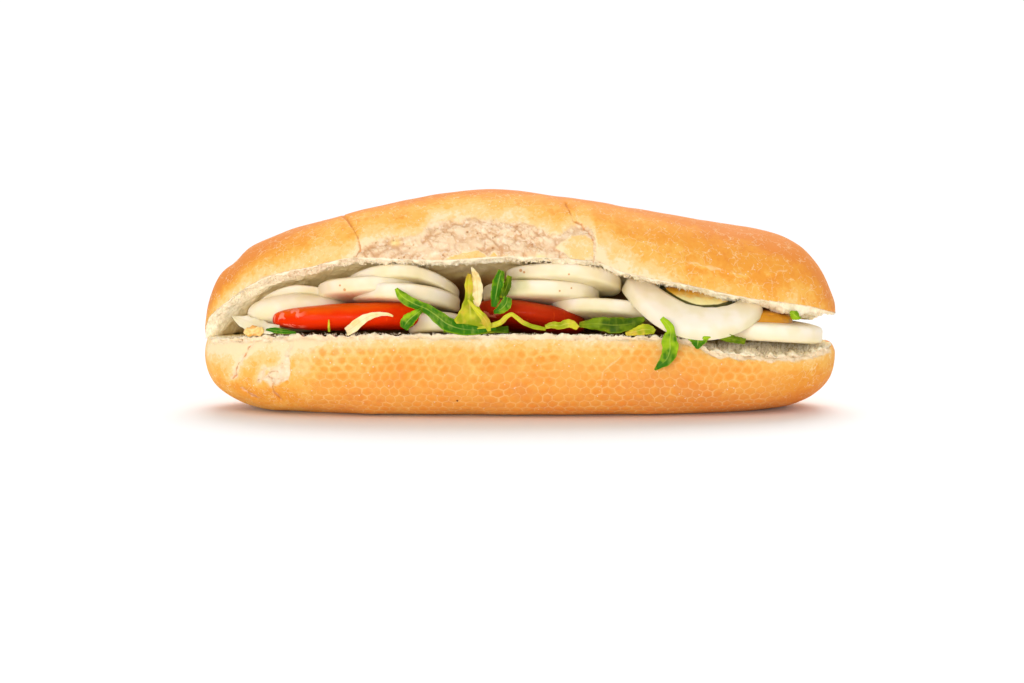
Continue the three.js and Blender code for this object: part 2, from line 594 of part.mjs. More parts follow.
// The origin goes under the middle of the bounding box.
const middle = new THREE.Box3().setFromObject(group).getCenter(new THREE.Vector3());
for (const mesh of group.children) mesh.position.set(-middle.x, -middle.y, 0);

export default group;
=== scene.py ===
"""Looks of the egg sandwich: a long crusty roll opened at the front, with sliced boiled egg,
tomato and salad leaves. Every piece is a surface worked out on a grid from the sizes that the
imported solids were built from. Shapes are worked out in millimetres and stored in metres.
"""

import math
from types import SimpleNamespace

import bpy
import numpy as np
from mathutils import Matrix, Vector


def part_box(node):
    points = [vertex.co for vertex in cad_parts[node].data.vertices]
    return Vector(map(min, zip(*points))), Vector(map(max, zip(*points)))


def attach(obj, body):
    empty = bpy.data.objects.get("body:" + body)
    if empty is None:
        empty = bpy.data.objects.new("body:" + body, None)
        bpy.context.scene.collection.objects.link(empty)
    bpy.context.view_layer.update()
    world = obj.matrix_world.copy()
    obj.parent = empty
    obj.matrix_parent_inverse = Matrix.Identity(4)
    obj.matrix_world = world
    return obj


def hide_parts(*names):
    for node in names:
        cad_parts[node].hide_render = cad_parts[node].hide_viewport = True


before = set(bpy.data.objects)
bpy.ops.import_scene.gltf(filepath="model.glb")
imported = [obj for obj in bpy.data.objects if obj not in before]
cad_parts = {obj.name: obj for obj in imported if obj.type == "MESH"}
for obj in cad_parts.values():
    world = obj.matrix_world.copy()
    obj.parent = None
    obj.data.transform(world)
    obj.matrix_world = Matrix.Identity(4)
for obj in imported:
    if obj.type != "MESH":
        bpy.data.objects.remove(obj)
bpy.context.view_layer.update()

MM = 0.001

# The roll
HALF_LENGTH = 110.0
PLAN = 2.6  # superellipse exponent of the outline from above
BASE_HALF_WIDTH = 37.0
CROWN_HALF_WIDTH = 35.5
CROWN_SET_BACK = 0.5
CORNER_HEIGHT = 20.0
CORNER_REACH_END = 32.0
CORNER_REACH_SIDE = 19.0
CORNER = 2.5  # superellipse exponent of the round lower edge
RIM_TURN_IN = 1.2
CUT_SLOPE = 0.575

# Heights along the roll, as [x, height] pairs
BASE_FRONT_RIM = [
    [-110, 25], [-89, 27.7], [-41, 29.5], [47, 28.8], [58, 26.8], [67, 23.2], [84, 21.2], [96, 20.6],
    [110, 22.8],
]
BASE_BACK_RIM = [[-110, 25], [-60, 24], [60, 24], [110, 22.8]]
BASE_HOLLOW = [[-110, 0], [-90, 2.5], [-60, 4.5], [40, 4.5], [60, 2], [76, -4], [100, -4], [110, 0]]
CROWN_FRONT_RIM = [
    [-110, 27], [-107, 33], [-99, 40], [-93, 44.4], [-84, 48.6], [-71, 51.6], [-57, 54.8], [-27, 54.2],
    [-7, 55.4], [8, 55.1], [25, 53.6], [36, 49.8], [57, 45.4], [77, 40.9], [99, 37.2], [110, 33.5],
]
CROWN_BACK_LIFT = [[-110, -0.8], [60, -0.8], [84, 3], [97, 7], [110, 10.7]]  # the halves hang together
SKYLINE = [
    [-110, 60], [-100, 59.5], [-91, 61.3], [-77, 64.9], [-60, 68.8], [-36, 73.4], [-12, 76.2],
    [8, 74.6], [28, 72], [80, 65], [94, 63], [101, 60.8], [106, 56.5], [110, 49],
]
OPENED = [[-110, -0.5], [-107, -0.4], [-100, 0.1], [-93, 0.45], [-79, 0.75], [-60, 0.86], [110, 0.86]]
END_DENT = {"x": -99.5, "depth": 2.2, "reach": 3.5}
CROWN_HOLLOW = 4.5
CROWN_LIP = 0.3
CROWN_SIDE = 2.3  # superellipse exponents of the crown's section along the sides and at the ends
CROWN_END = 2.5
CROWN_LEAN = 0.8  # share of the opening tilt that moves the dome back
CROWN_APEX = 0.95  # the tilted dome is this much as high over its middle as at its highest
OPENED_FROM = 56.0  # from here to the right the crumb of the cut shows over the base's crust
OPENED_REACH = 12.0

# Where the crust has come off the front of the crown: its upper edge and its two ends
TEAR_TOP = [
    [-58, 54.5], [-54, 58.5], [-50.7, 60.8], [-46, 62.3], [-34, 64], [-30.5, 66.8], [-15.5, 68.7],
    [1, 66.8], [7, 64.8], [12.5, 62.6], [18, 66.3], [23, 65.6], [25.5, 61.5], [26.4, 54],
]
TEAR_ENDS = (-58.0, 26.2)
# What is left in it: a ragged strip of crust along the rim, by its upper edge, and a loose flake
CRUST_STRIP = [
    [-27.2, 53.6], [-25.5, 54.8], [-19.7, 57], [-14.3, 57.6], [-11.6, 56.2], [-10.9, 55.4],
    [-9.2, 57.3], [-6.2, 54.7], [-1.8, 55.6], [2.4, 54.9], [7.7, 55.5], [9.4, 54],
]
FLAKE = [
    [11.8, 59.1], [17.5, 62.6], [21.9, 62.8], [24.6, 61], [25.3, 56.5], [24.6, 54.6], [19.2, 53.3],
    [15.1, 56.4],
]
CRUST_THICKNESS = 0.7

# Cracks, folds and peeled edges, drawn on the front as [x, height] lines
CROWN_CRACKS = [
    [[-61.7, 68.4], [-59.3, 67.5], [-56.9, 64.6], [-55.2, 62], [-54.2, 58.1], [-56.3, 54.5]],
    [[15.5, 72.4], [17.5, 69], [17.8, 67.4], [20.9, 66.5], [22.6, 64.4], [24.4, 61.9], [25.3, 59.4],
     [25.3, 56.5], [24.6, 53.3]],
]
CROWN_FOLD = [
    [49, 49.6], [53, 51.4], [58, 52.7], [63, 51.6], [69, 51], [73, 48.9], [78, 48.4], [81.6, 50.4],
    [85.4, 48.5], [91, 50],
]
PEELS = [
    [[-53.9, 57.6], [-50.5, 59.3], [-48.1, 60.6], [-44.1, 61.3], [-40, 61.8], [-36.3, 63.8],
     [-32.9, 64.1]],
    [[-32.9, 60.9], [-31.2, 63.5], [-28.9, 65.7], [-24.5, 66.6], [-22.1, 67.2], [-17.7, 66.3]],
    [[-8.6, 67.2], [-6.2, 65], [-2.8, 66.6], [0.9, 65], [5, 65], [6.3, 62.9]],
    [[-13.6, 58.3], [-11.3, 56.7], [-9.2, 58.3]],
]
BASE_CRACKS = [
    [[-77.6, 27.8], [-78.3, 24.4], [-80, 21.3], [-81.3, 18.6], [-84.4, 16.6], [-87.7, 16.6],
     [-89.1, 13.5], [-90.4, 10.8]],
    [[-91.5, 25.4], [-93.5, 23.4], [-93.8, 22], [-95.4, 20], [-96.9, 17.9], [-97.9, 15.5],
     [-98.2, 13.5], [-99.2, 12.1]],
    [[-85, 10.8], [-84.4, 8.4], [-82.3, 5.7]],
    [[-95.9, 8.7], [-92.8, 6.4], [-90.4, 5.3]],
]
BASE_FOLD = [[27.4, 13.6], [27.8, 16.4], [31, 19.6], [34.6, 22.6], [37.4, 25.2]]
# Bare crumb low on the left of the base
PATCH = [
    [-77.8, 25.5], [-78.4, 13.2], [-82.3, 10.9], [-85.7, 9.9], [-88.6, 13], [-84.6, 16.4], [-81, 19.4],
]

# Marks on the front as [x, height, radius]
STAINS = [[-20, 54, 5], [-5.6, 54.6, 3.4], [6.6, 54.8, 2.6], [-42, 60, 2.4]]
CRUST_SPECKS = [[72.6, 67.3, 0.5], [73.4, 65.4, 0.35], [-21.4, 6.4, 0.34], [40.4, 46.6, 0.35]]
EGG_SPECKS = [
    [0.2, 50.2, 0.5], [1.3, 49.7, 0.4], [16.5, 49.4, 0.35], [13.4, 43.6, 0.35], [17.4, 44.4, 0.3],
    [-61.4, 45.2, 0.35], [-59.8, 43.8, 0.5], [-33.4, 51.4, 0.3],
]
EGG_GREEN = [[0.6, 45.6, 2.4], [-3, 43.4, 2]]

CELL_PITCH = 3.8  # of the tray's honeycomb print on the base, along the roll
CELL_SQUASH = 0.85  # height of a cell, as a share of a regular hexagon's
CELL_SWELL = 0.12  # how far a cell stands out
CRUMBS = 420  # loose crumbs on each torn rim
# Torn fibres at the opened end of the base. Along the rest of its rim are a third as many more, and
# under the crown half as many.
FIBRES = 1000

# Limits of what is kept at each point of the bread
WHOLE = 4.0  # millimetres of crust beyond the torn edge, at most
BARE = -3.0  # and at least, on bare crumb
FAR = 3.0  # distance to a crack or a fold, at most

# Colours of the crust from barely to well baked
CRUST_TONES = [
    [-0.05, (0.9, 0.71, 0.42, 1)], [0.2, (0.91, 0.58, 0.22, 1)], [0.42, (0.88, 0.46, 0.092, 1)],
    [0.68, (0.84, 0.335, 0.041, 1)], [1.0, (0.78, 0.25, 0.032, 1)],
]

# Colours of the fillings, from 0 to 255. Leaves as (light, dark, vein, aged), yolks as (pale, deep,
# ring round them), tomatoes as (skin, flesh).
LEAF_COLOURS = {
    "leaf_green": [(160, 192, 26), (52, 112, 6), (214, 222, 100), (140, 172, 24)],
    "leaf_dark": [(114, 138, 10), (54, 84, 0), (160, 172, 46), (146, 140, 20)],
    "leaf_yellow": [(204, 200, 48), (146, 158, 18), (236, 226, 110), (212, 170, 64)],
    "leaf_pale": [(250, 232, 182), (238, 212, 144), (204, 164, 84), (222, 184, 108)],
}
YOLK_COLOURS = {
    # Yolk 10's dark ring is partly its green layer and partly painted shade in the gap round it.
    "egg_yolk_10": [(255, 240, 172), (255, 190, 40), (78, 76, 26)],
    "egg_yolk_11": [(240, 170, 24), (176, 104, 0), (216, 146, 20)],
    "yolk_scrap": [(252, 222, 148), (240, 176, 84), (246, 204, 124)],
}
TOMATO_COLOURS = {
    "tomato_slice_1": [(226, 48, 0), (240, 96, 6)],
    "tomato_slice_2": [(178, 44, 10), (200, 76, 28)],
}

# Grid sizes. Rows are (number, (start, end, times)): between the lengths start and end of the
# profile they are that many times closer.
STATIONS = 560  # along the roll
BASE_FRONT_ROWS = (120, (26, 62, 4))
BASE_BACK_ROWS = (44, (26, 60, 2))
CROWN_FRONT_ROWS = (146, (16, 86, 4))
CROWN_BACK_ROWS = (28, (30, 84, 1.6))
PROFILE_RIM = 28.0  # heights of rim and dome that the rows are spaced for
PROFILE_DOME = 34.0
SLICE_GRID = (180, 64)
LEAF_GRID = (90, 16)

# Floor, light and camera, with lengths in metres
FLOOR_REACH = 60.0
WORLD_FRONT = 0.38
WORLD_BACK = 1.04
SUN_STRENGTH = 1.35
FILL_POWER = 8.9
TOP_FILL_POWER = 2.1
CAMERA_DISTANCE = 1.1
CAMERA_ELEVATION = math.radians(6)
CAMERA_TARGET = (-0.0028, 0.0, 0.0231)
SENSOR_WIDTH = 36.0  # in millimetres
PHOTO_WIDTH = 1024  # in pixels
PIXEL_AT_TARGET = 0.00035  # metres of the roll that a pixel of the photograph shows

base_low, base_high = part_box("bread_base")
ORIGIN = np.array([(base_low.x + base_high.x) / 2, (base_low.y + base_high.y) / 2, base_low.z]) / MM


# Curves, noise and grids


def smooth(t):
    """0 below 0, 1 above 1 and an even S between them."""
    t = np.clip(t, 0, 1)
    return t * t * (3 - 2 * t)


def mix(a, b, t):
    return a + (b - a) * t


def bell(value, width):
    """1 at 0, falling evenly on both sides to 0.37 at one width and next to nothing at three."""
    return np.exp(-((value / width) ** 2))


def signed_power(value, power):
    return np.sign(value) * np.abs(value) ** power


def path_length(across, up):
    """Length along a path at each of its points."""
    return np.concatenate([[0], np.cumsum(np.hypot(np.diff(across), np.diff(up)))])


def curve_through(pairs, x):
    """A cubic through [x, value] pairs, with the slope at a pair of the line between its neighbours."""
    at, value = np.array(pairs, float).T
    order = np.arange(len(at))
    before, after = np.maximum(order - 1, 0), np.minimum(order + 1, len(at) - 1)
    slope = (value[after] - value[before]) / (at[after] - at[before])
    x = np.clip(x, at[0], at[-1])
    i = np.clip(np.searchsorted(at, x, side="right") - 1, 0, len(at) - 2)
    width = at[i + 1] - at[i]
    t = (x - at[i]) / width
    bend = width * t * (1 - t) * (slope[i] * (1 - t) - slope[i + 1] * t)
    return value[i] + (value[i + 1] - value[i]) * smooth(t) + bend


def lattice(cell, seed):
    """A fixed random number from 0 to 1 for every whole-numbered cell of an (..., 3) array."""
    i, j, k = np.moveaxis(cell, -1, 0)
    mixed = (i * 73856093) ^ (j * 19349663) ^ (k * 83492791) ^ (seed * 83492)
    mixed = ((mixed & 0x7FFFFFFF) ^ ((mixed & 0x7FFFFFFF) >> 13)) * 1103515245
    mixed = (mixed ^ (mixed >> 16)) & 0x7FFFFFFF
    return (mixed * 69069 % 1048573) / 1048573


def noise(point, size, seed=0):
    """Smooth noise from -1 to 1: random numbers on a cubic lattice, eased between its corners."""
    scaled = point / size
    cell = np.floor(scaled).astype(np.int64)
    t = smooth(scaled - cell)
    total = 0.0
    for corner in np.ndindex(2, 2, 2):
        near = np.prod(np.where(corner, t, 1 - t), axis=-1)
        total = total + near * lattice(cell + np.array(corner), seed)
    return total * 2 - 1


def rough(point, size, octaves=3, seed=0):
    """Noise summed over octaves, each half as large and half as strong as the last."""
    return sum(noise(point, size / 2**k, seed + k) / 2**k for k in range(octaves))


def lumps(point, size, seed=0):
    """Round lumps at scattered points: (0 to 1 by nearness to the nearest, 1 in the creases between)."""
    scaled = point / size
    cell = np.floor(scaled).astype(np.int64)
    nearest = np.full(point.shape[:-1], 9.0)
    second = nearest.copy()
    for step in np.ndindex(3, 3, 3):
        other = cell + np.array(step) - 1
        centre = other + np.stack([lattice(other, seed + k) for k in range(3)], axis=-1)
        away = np.linalg.norm(scaled - centre, axis=-1)
        second = np.minimum(second, np.maximum(away, nearest))
        nearest = np.minimum(nearest, away)
    return 1 - np.clip(nearest, 0, 1) ** 2, 1 - smooth((second - nearest) / 0.16)


def line_distance(x, z, points):
    """Distance in the x-z plane to a line of [x, z] points."""
    points = np.array(points, float)
    nearest = np.full(np.shape(x), 1e6)
    for (ax, az), (bx, bz) in zip(points[:-1], points[1:]):
        along = ((x - ax) * (bx - ax) + (z - az) * (bz - az)) / ((bx - ax) ** 2 + (bz - az) ** 2)
        along = np.clip(along, 0, 1)
        nearest = np.minimum(nearest, np.hypot(x - mix(ax, bx, along), z - mix(az, bz, along)))
    return nearest


def outline_depth(x, z, corners):
    """Distance in the x-z plane from a closed outline of [x, z] corners: above 0 inside it."""
    corners = np.array(corners, float)
    after = np.roll(corners, -1, 0)
    within = np.zeros(np.shape(x), bool)
    for (ax, az), (bx, bz) in zip(corners, after):
        if az != bz:
            within ^= ((az > z) != (bz > z)) & (x < ax + (bx - ax) * (z - az) / (bz - az))
    away = line_distance(x, z, np.concatenate([corners, corners[:1]]))
    return np.where(within, away, -away)


def outward_normals(grid):
    """Outward unit normals of a (rows, columns, 3) grid whose rows form closed rings."""
    down = np.roll(grid, -1, 0) - np.roll(grid, 1, 0)
    normal = np.cross(down, np.gradient(grid, axis=1))
    normal /= np.maximum(np.linalg.norm(normal, axis=-1, keepdims=True), 1e-9)
    away = np.sum(normal * (grid - grid.mean((0, 1))), axis=-1)
    return normal * (1 if np.sum(away) > 0 else -1)


def raised(grid, relief):
    """The grid moved outwards by a relief in millimetres."""
    return grid + outward_normals(grid) * relief[..., None]


def signed_volume(points, triangles):
    a, b, c = points[triangles[:, 0]], points[triangles[:, 1]], points[triangles[:, 2]]
    return np.einsum("ij,ij->", a, np.cross(b, c)) / 6


def tube_faces(rows, columns):
    """Quads and end fans of a grid whose rows close into a ring; two poles follow the grid's points."""
    row, column = np.meshgrid(np.arange(rows), np.arange(columns - 1), indexing="ij")
    below = (row + 1) % rows
    quads = np.stack([
        row * columns + column, below * columns + column,
        below * columns + column + 1, row * columns + column + 1,
    ], axis=-1).reshape(-1, 4)
    ring = np.arange(rows)
    after = (ring + 1) % rows
    first, last = rows * columns, rows * columns + 1
    start = np.stack([ring * columns, np.full(rows, first), after * columns], axis=-1)
    far = columns - 1
    end = np.stack([after * columns + far, np.full(rows, last), ring * columns + far], axis=-1)
    return quads, np.concatenate([start, end])


def make_piece(name, points, quads, triangles, attributes=None):
    """A smooth mesh object from points in millimetres, turned so that its faces look outwards."""
    split = np.concatenate([quads[:, [0, 1, 2]], quads[:, [0, 2, 3]], triangles])
    if signed_volume(points, split) < 0:
        quads, triangles = quads[:, ::-1], triangles[:, ::-1]
    mesh = bpy.data.meshes.new(name)
    corners = np.concatenate([quads.ravel(), triangles.ravel()])
    sizes = np.concatenate([np.full(len(quads), 4), np.full(len(triangles), 3)])
    mesh.vertices.add(len(points))
    mesh.vertices.foreach_set("co", ((points + ORIGIN) * MM).astype(np.float32).ravel())
    mesh.loops.add(len(corners))
    mesh.loops.foreach_set("vertex_index", corners.astype(np.int32))
    mesh.polygons.add(len(sizes))
    mesh.polygons.foreach_set("loop_start", np.concatenate([[0], np.cumsum(sizes)[:-1]]).astype(np.int32))
    mesh.polygons.foreach_set("use_smooth", np.ones(len(sizes), bool))
    for key, values in (attributes or {}).items():
        values = np.asarray(values, np.float32)
        kind, field = ("FLOAT", "value") if values.ndim == 1 else ("FLOAT_VECTOR", "vector")
        mesh.attributes.new(key, kind, "POINT").data.foreach_set(field, values.ravel())
    mesh.update(calc_edges=True)
    mesh.validate()
    piece = bpy.data.objects.new(name, mesh)
    bpy.context.scene.collection.objects.link(piece)
    return piece


def tube_piece(name, grid, attributes=None):
    """A closed piece from a grid whose rows form closed rings; each end closes on its middle."""
    rows, columns = grid.shape[:2]
    poles = np.stack([grid[:, 0].mean(0), grid[:, -1].mean(0)])
    points = np.concatenate([grid.reshape(-1, 3), poles])
    kept = {}
    for key, values in (attributes or {}).items():
        ends = np.stack([values[:, 0].mean(0), values[:, -1].mean(0)])
        flat = values.reshape((rows * columns,) + values.shape[2:])
        kept[key] = np.concatenate([flat, ends])
    return make_piece(name, points, *tube_faces(rows, columns), kept)


# The roll


def outline_stations(count):
    """Places along the roll that are evenly spaced on its outline: (x, length along the outline)."""
    angle = np.linspace(0, math.pi, 6001)
    x = -HALF_LENGTH * signed_power(np.cos(angle), 2 / PLAN)
    length = path_length(x, BASE_HALF_WIDTH * np.sin(angle) ** (2 / PLAN))
    wanted = np.linspace(0, length[-1], count + 2)[1:-1]
    return np.interp(wanted, length, x), wanted - length[-1] / 2


def half_outline(x, half_length, half_width):
    """Half the width at x of a superellipse of that half length and half width."""
    left = 1 - (np.abs(x) / np.maximum(half_length, 1e-6)) ** PLAN
    return half_width * np.clip(left, 0, 1) ** (1 / PLAN)


def crown_edge(x):
    """Half the crown's width at x, and a little at its very tips."""
    return np.maximum(half_outline(x, HALF_LENGTH, CROWN_HALF_WIDTH), 0.01)


def opened_end(x):
    """1 at the right, where the halves stand apart, and 0 from the middle leftwards."""
    return smooth((x - OPENED_FROM) / OPENED_REACH)


def inside(x, y, half_width):
    """1 on the roll's middle line and 0 on its outline."""
    return np.clip(1 - np.abs(x / HALF_LENGTH) ** PLAN - np.abs(y / half_width) ** PLAN, 0, 1)


def cut_plane(x, y):
    """Height of the cut through the roll, from the back rim of the base to its front rim."""
    to_front = smooth(CUT_SLOPE * (1 - y / BASE_HALF_WIDTH))
    return mix(curve_through(BASE_BACK_RIM, x), curve_through(BASE_FRONT_RIM, x), to_front)


def base_cut(x, y):
    return cut_plane(x, y) - curve_through(BASE_HOLLOW, x) * inside(x, y, BASE_HALF_WIDTH)


def crown_back(x):
    return curve_through(BASE_BACK_RIM, x) + curve_through(CROWN_BACK_LIFT, x)


def crown_chord(x, y):
    """Lower edge of the crown: on the cut at the back, rising evenly from where the cut has opened."""
    across = np.clip((y - CROWN_SET_BACK) / crown_edge(x), -1, 1)
    opened = curve_through(OPENED, x)
    forward = np.clip((opened - across) / (opened + 1), 0, 1)
    resting = cut_plane(x, y) + curve_through(CROWN_BACK_LIFT, x)
    return mix(resting, curve_through(CROWN_FRONT_RIM, x), forward)


def crown_plane(x, y):
    """The plane that the dome stands on, back rim to front rim over the whole width."""
    forward = np.clip(0.5 - (y - CROWN_SET_BACK) / (2 * CROWN_HALF_WIDTH), 0, 1)
    return mix(crown_back(x), curve_through(CROWN_FRONT_RIM, x), forward)


def crown_cut(x, y):
    within = inside(x, y - CROWN_SET_BACK, CROWN_HALF_WIDTH)
    return crown_chord(x, y) + CROWN_HOLLOW * np.clip((within - CROWN_LIP) / (1 - CROWN_LIP), 0, 1) ** 0.8


def crown_tilt(x):
    return np.arctan2(curve_through(CROWN_FRONT_RIM, x) - crown_back(x), 2 * CROWN_HALF_WIDTH)


def dome_height(x):
    """The dome's height over its tilted plane that lifts it to the skyline."""
    tilt = crown_tilt(x)
    above = curve_through(SKYLINE, x) - (curve_through(CROWN_FRONT_RIM, x) + crown_back(x)) / 2
    dent = END_DENT["depth"] * bell(x - END_DENT["x"], END_DENT["reach"])
    return CROWN_APEX * np.sqrt(above**2 - (CROWN_HALF_WIDTH * np.sin(tilt)) ** 2) / np.cos(tilt) - dent


def rows_of(profile, length, count, fine):
    """Rows at even steps of a profile's length, with the stretch between two lengths stepped finer."""
    start, stop, times = fine
    dense = np.linspace(0, length[-1], 4000)
    weight = 1 + (times - 1) * ((dense > start) & (dense < stop))
    place = np.concatenate([[0], np.cumsum((weight[1:] + weight[:-1]) / 2)])
    wanted = np.interp(np.linspace(0, place[-1], count), place, dense)
    return np.stack([np.interp(wanted, length, column) for column in profile.T] + [wanted], axis=-1)


def section_grid(profile, end_inset, x, rows):
    """The profile's columns, each as an array of (rows, x), over what the roll still has at each x.

    The profile's rings shrink from the outline to the middle line at its two ends; a ring reaches x
    if its end inset is under the distance from x to the tip.
    """
    widest = int(np.argmin(end_inset))
    order = np.arange(len(profile))
    left = HALF_LENGTH - np.abs(x)
    first = np.interp(-left, -end_inset[: widest + 1], order[: widest + 1])
    last = np.interp(left, end_inset[widest:], order[widest:])
    place = mix(first[None, :], last[None, :], np.linspace(0, 1, rows)[:, None])
    return [np.interp(place, order, column) for column in profile.T]


def base_profile():
    """Rows of (end inset, side inset, fixed height, share of the cut's height), and their length.

    From the middle of the underside out to the round corner, up the wall to the rim, and over the
    cut face to its middle.
    """
    t = np.linspace(0, 1, 200)[:, None]
    whole, none = np.ones_like(t), np.zeros_like(t)
    bottom = np.hstack([
        mix(BASE_HALF_WIDTH, CORNER_REACH_END, t), mix(BASE_HALF_WIDTH, CORNER_REACH_SIDE, t), none, none,
    ])
    angle = t * math.pi / 2
    inset = 1 - np.sin(angle) ** (2 / CORNER)
    height = CORNER_HEIGHT * (1 - np.clip(np.cos(angle), 0, 1) ** (2 / CORNER))
    corner = np.hstack([CORNER_REACH_END * inset, CORNER_REACH_SIDE * inset, height, none])
    turn = RIM_TURN_IN * t**1.5
    wall = np.hstack([turn, turn, CORNER_HEIGHT * whole, t])
    over = mix(RIM_TURN_IN, BASE_HALF_WIDTH, t)
    cut = np.hstack([over, over, CORNER_HEIGHT * whole, whole])
    profile = np.vstack([bottom, corner[1:], wall[1:], cut[1:]])
    return profile, path_length(profile[:, 1], mix(profile[:, 2], PROFILE_RIM, profile[:, 3]))


def ring_both(front, back):
    """Front rows going out and back rows coming home, joined into one ring."""
    return np.concatenate([front, back[::-1][1:-1]])


def base_surface():
    """The plain base, with what is known at each point of it.

    Each ring of the profile is the roll's outline drawn in by the ring's two insets.
    """
    x, around = outline_stations(STATIONS)
    profile, length = base_profile()
    halves = []
    for side, (rows, fine) in ((-1, BASE_FRONT_ROWS), (1, BASE_BACK_ROWS)):
        picked = rows_of(profile, length, rows, fine)
        end_inset, side_inset, fixed, share, down = section_grid(picked, picked[:, 0], x, rows)
        y = side * half_outline(x[None, :], HALF_LENGTH - end_inset, BASE_HALF_WIDTH - side_inset)
        wide = np.broadcast_to(x[None, :], y.shape)
        z = mix(fixed, base_cut(wide, y), share)
        halves.append(np.stack([wide, y, z, np.broadcast_to(around, y.shape), down, share], axis=-1))
    ring = ring_both(*halves)
    x, y, z, along, down, share = np.moveaxis(ring, -1, 0)
    grid = ring[..., :3]
    return SimpleNamespace(
        grid=grid, x=x, y=y, z=z, along=along, down=down, on_top=share > 0.995,
        front=smooth((-y - 1) / 13 + 0.25 * noise(grid, 4, 12)), opened=opened_end(x),
        rim=curve_through(BASE_FRONT_RIM, x), gap=y + half_outline(x, HALF_LENGTH, BASE_HALF_WIDTH),
    )


def bread_base():
    """The base: printed crust with cracks and a fold, and torn crumb along the rim and on the cut."""
    at = base_surface()
    at.crust, at.crack, at.crease = base_crust(at)
    at.seam = at.crack + 0.8 * smooth(0.6 + 2 * noise(at.grid, 2.6, 19)) * smooth((at.z - 11) / 2)
    at.fold = fold_distance(at, BASE_FOLD, at.front > 0.5)
    cells, swell = cell_print(at)
    grid = raised(at.grid, base_relief(at) + swell * base_edges(at))
    grid[..., 2] += base_tufts(at, grid)
    return tube_piece("fine_bread_base", grid, {
        "crust": at.crust, "bake": base_bake(at, grid), "cells": cells,
        "seam": np.minimum(at.seam, FAR), "fold": at.fold,
        "crumb": np.stack([at.crease, base_stain_and_shade(at, grid), mix(0.3, 1.0, at.on_top)], axis=-1),
    })


def base_crust(at):
    """(Millimetres of crust beyond the torn edge, distance to a crack, creases of the bare patch)."""
    ragged = rough(at.grid * [1, 0.3, 0.3], 3.4, 3, 11)
    below_rim = np.clip(at.rim - 1.7 + 0.6 * ragged - at.z, BARE, WHOLE)
    crust = np.where(at.on_top, BARE, mix(WHOLE, below_rim, at.front))
    patch, crease = base_patch(at)
    crack = nearest_line(at, BASE_CRACKS, at.front, 0.25)
    peeled = crack + 0.8 * rough(at.grid, 2.4, 2, 17) - 0.3 * smooth((at.z - 9) / 4)
    crust = np.min([crust, patch, peeled], axis=0)
    return crust, crack, crease * smooth(0.6 - patch) * (1 - at.on_top)


def base_patch(at):
    """(Crust left round the bare patch low on the base's left, below 0 in it, and its creases)."""
    depth = outline_depth(at.x, at.z, PATCH) + 0.5 * rough(at.grid, 3, 3, 5)
    furrow = smooth(1 - np.abs(rough(at.grid, 2.4, 2, 22)) / 0.16)
    return np.where(at.front > 0.5, 0.3 - depth, WHOLE), furrow * mix(0.35, 1, smooth((-81 - at.x) / 4))


def base_edges(at):
    """0 on the underside and at the two tips, where the base keeps its plain form, and 1 elsewhere."""
    return smooth(at.z / 1.2) * smooth((HALF_LENGTH - np.abs(at.x)) / 0.6)


def base_relief(at):
    """Gentle swellings, bare crumb a crust's thickness lower, cracks, the fold and the torn rim."""
    bare = smooth(0.5 - at.crust)
    sunk = CRUST_THICKNESS - 0.8 * rough(at.grid, 2.2, 3, 20) + 0.6 * at.crease
    relief = 0.45 * rough(at.grid, 17, 2, 2) + 0.12 * noise(at.grid, 5, 4)
    relief -= bare * (1 - at.on_top) * sunk
    relief -= 0.35 * bell(at.seam, 0.5) + 0.3 * bell(at.crack, 1.6)
    relief += 0.35 * at.front * bell(at.fold, 0.9)
    rags = smooth((at.z - at.rim + 3) / 2) * bare * at.front
    rags = rags * (0.25 * noise(at.grid, 1.9, 40) + 0.2 * noise(at.grid, 0.9, 41))
    return relief * base_edges(at) + rags


def base_tufts(at, grid):
    """Height of the torn crumb on the cut, in longer tufts along its front edge."""
    near_edge = smooth(at.gap / 1.5) * smooth(1 - at.gap / mix(10, 22, at.opened))
    tufts = rough(grid * [1, 0.35, 1], 1.9, 3, 50) * mix(0.8, 1.3, at.opened)
    return at.on_top * (at.front * near_edge * tufts + 0.4 * rough(grid, 3, 3, 51))


def base_bake(at, grid):
    """How well the crust is baked: pale under the rim, at the left end and along the cracks."""
    below = at.rim + 1 - at.z
    bake = 0.56 * smooth((below - 1.2) / 9) - 0.06 + 0.25 * smooth((below - 8) / 12)
    bake += 0.25 * smooth((at.x - 10) / 70) + 0.12 * at.opened * smooth((9 - below) / 4)
    bake += 0.13 * rough(grid, 20, 3, 60) - 0.22 * smooth((-62 - at.x) / 14) * at.front
    bake -= 0.4 * bell(at.crack, 1.7) * smooth((at.z - 8) / 5)
    return mix(0.75 + 0.12 * rough(grid, 20, 3, 63), bake, at.front)


def base_stain_and_shade(at, grid):
    """Yellowing of the cut's crumb, partly stains and partly painted shade, deeper with the distance from
    its edge: up to 2, brown painted shade, far inside.
    """
    deep = smooth((at.gap - 9) / 9) * smooth((at.x + 88) / 12) * (1 - at.opened)
    return mix(0.75 * smooth((at.gap - 5) / 9) + 0.3 * rough(grid, 9, 2, 54), 2, deep) * at.on_top


def cell_print(at):
    """(Honeycomb coordinates and how clearly the print shows, the swell of its cells).

    The two coordinates are lengths along and across the surface in cell pitches, bent by noise; a
    point's hexagonal distance from its cell's middle makes the cell's dome.
    """
    bend = np.stack([rough(at.grid, 13, 2, 70), rough(at.grid, 13, 2, 71)], axis=-1) * 0.45
    u = at.along / CELL_PITCH + bend[..., 0]
    v = at.down / (CELL_PITCH * CELL_SQUASH) + bend[..., 1]
    shown = smooth((at.x + 80) / 14) * smooth((100 - at.x) / 22) * smooth((27.5 - at.z) / 5)
    shown = mix(smooth((100 - np.abs(at.x)) / 20), shown, at.front) * smooth(at.crust - 0.2)
    dome = 1 - np.clip(hexagon_distance(u, v) * 2, 0, 1) ** 3
    return np.stack([u, v, shown], axis=-1), CELL_SWELL * dome * shown


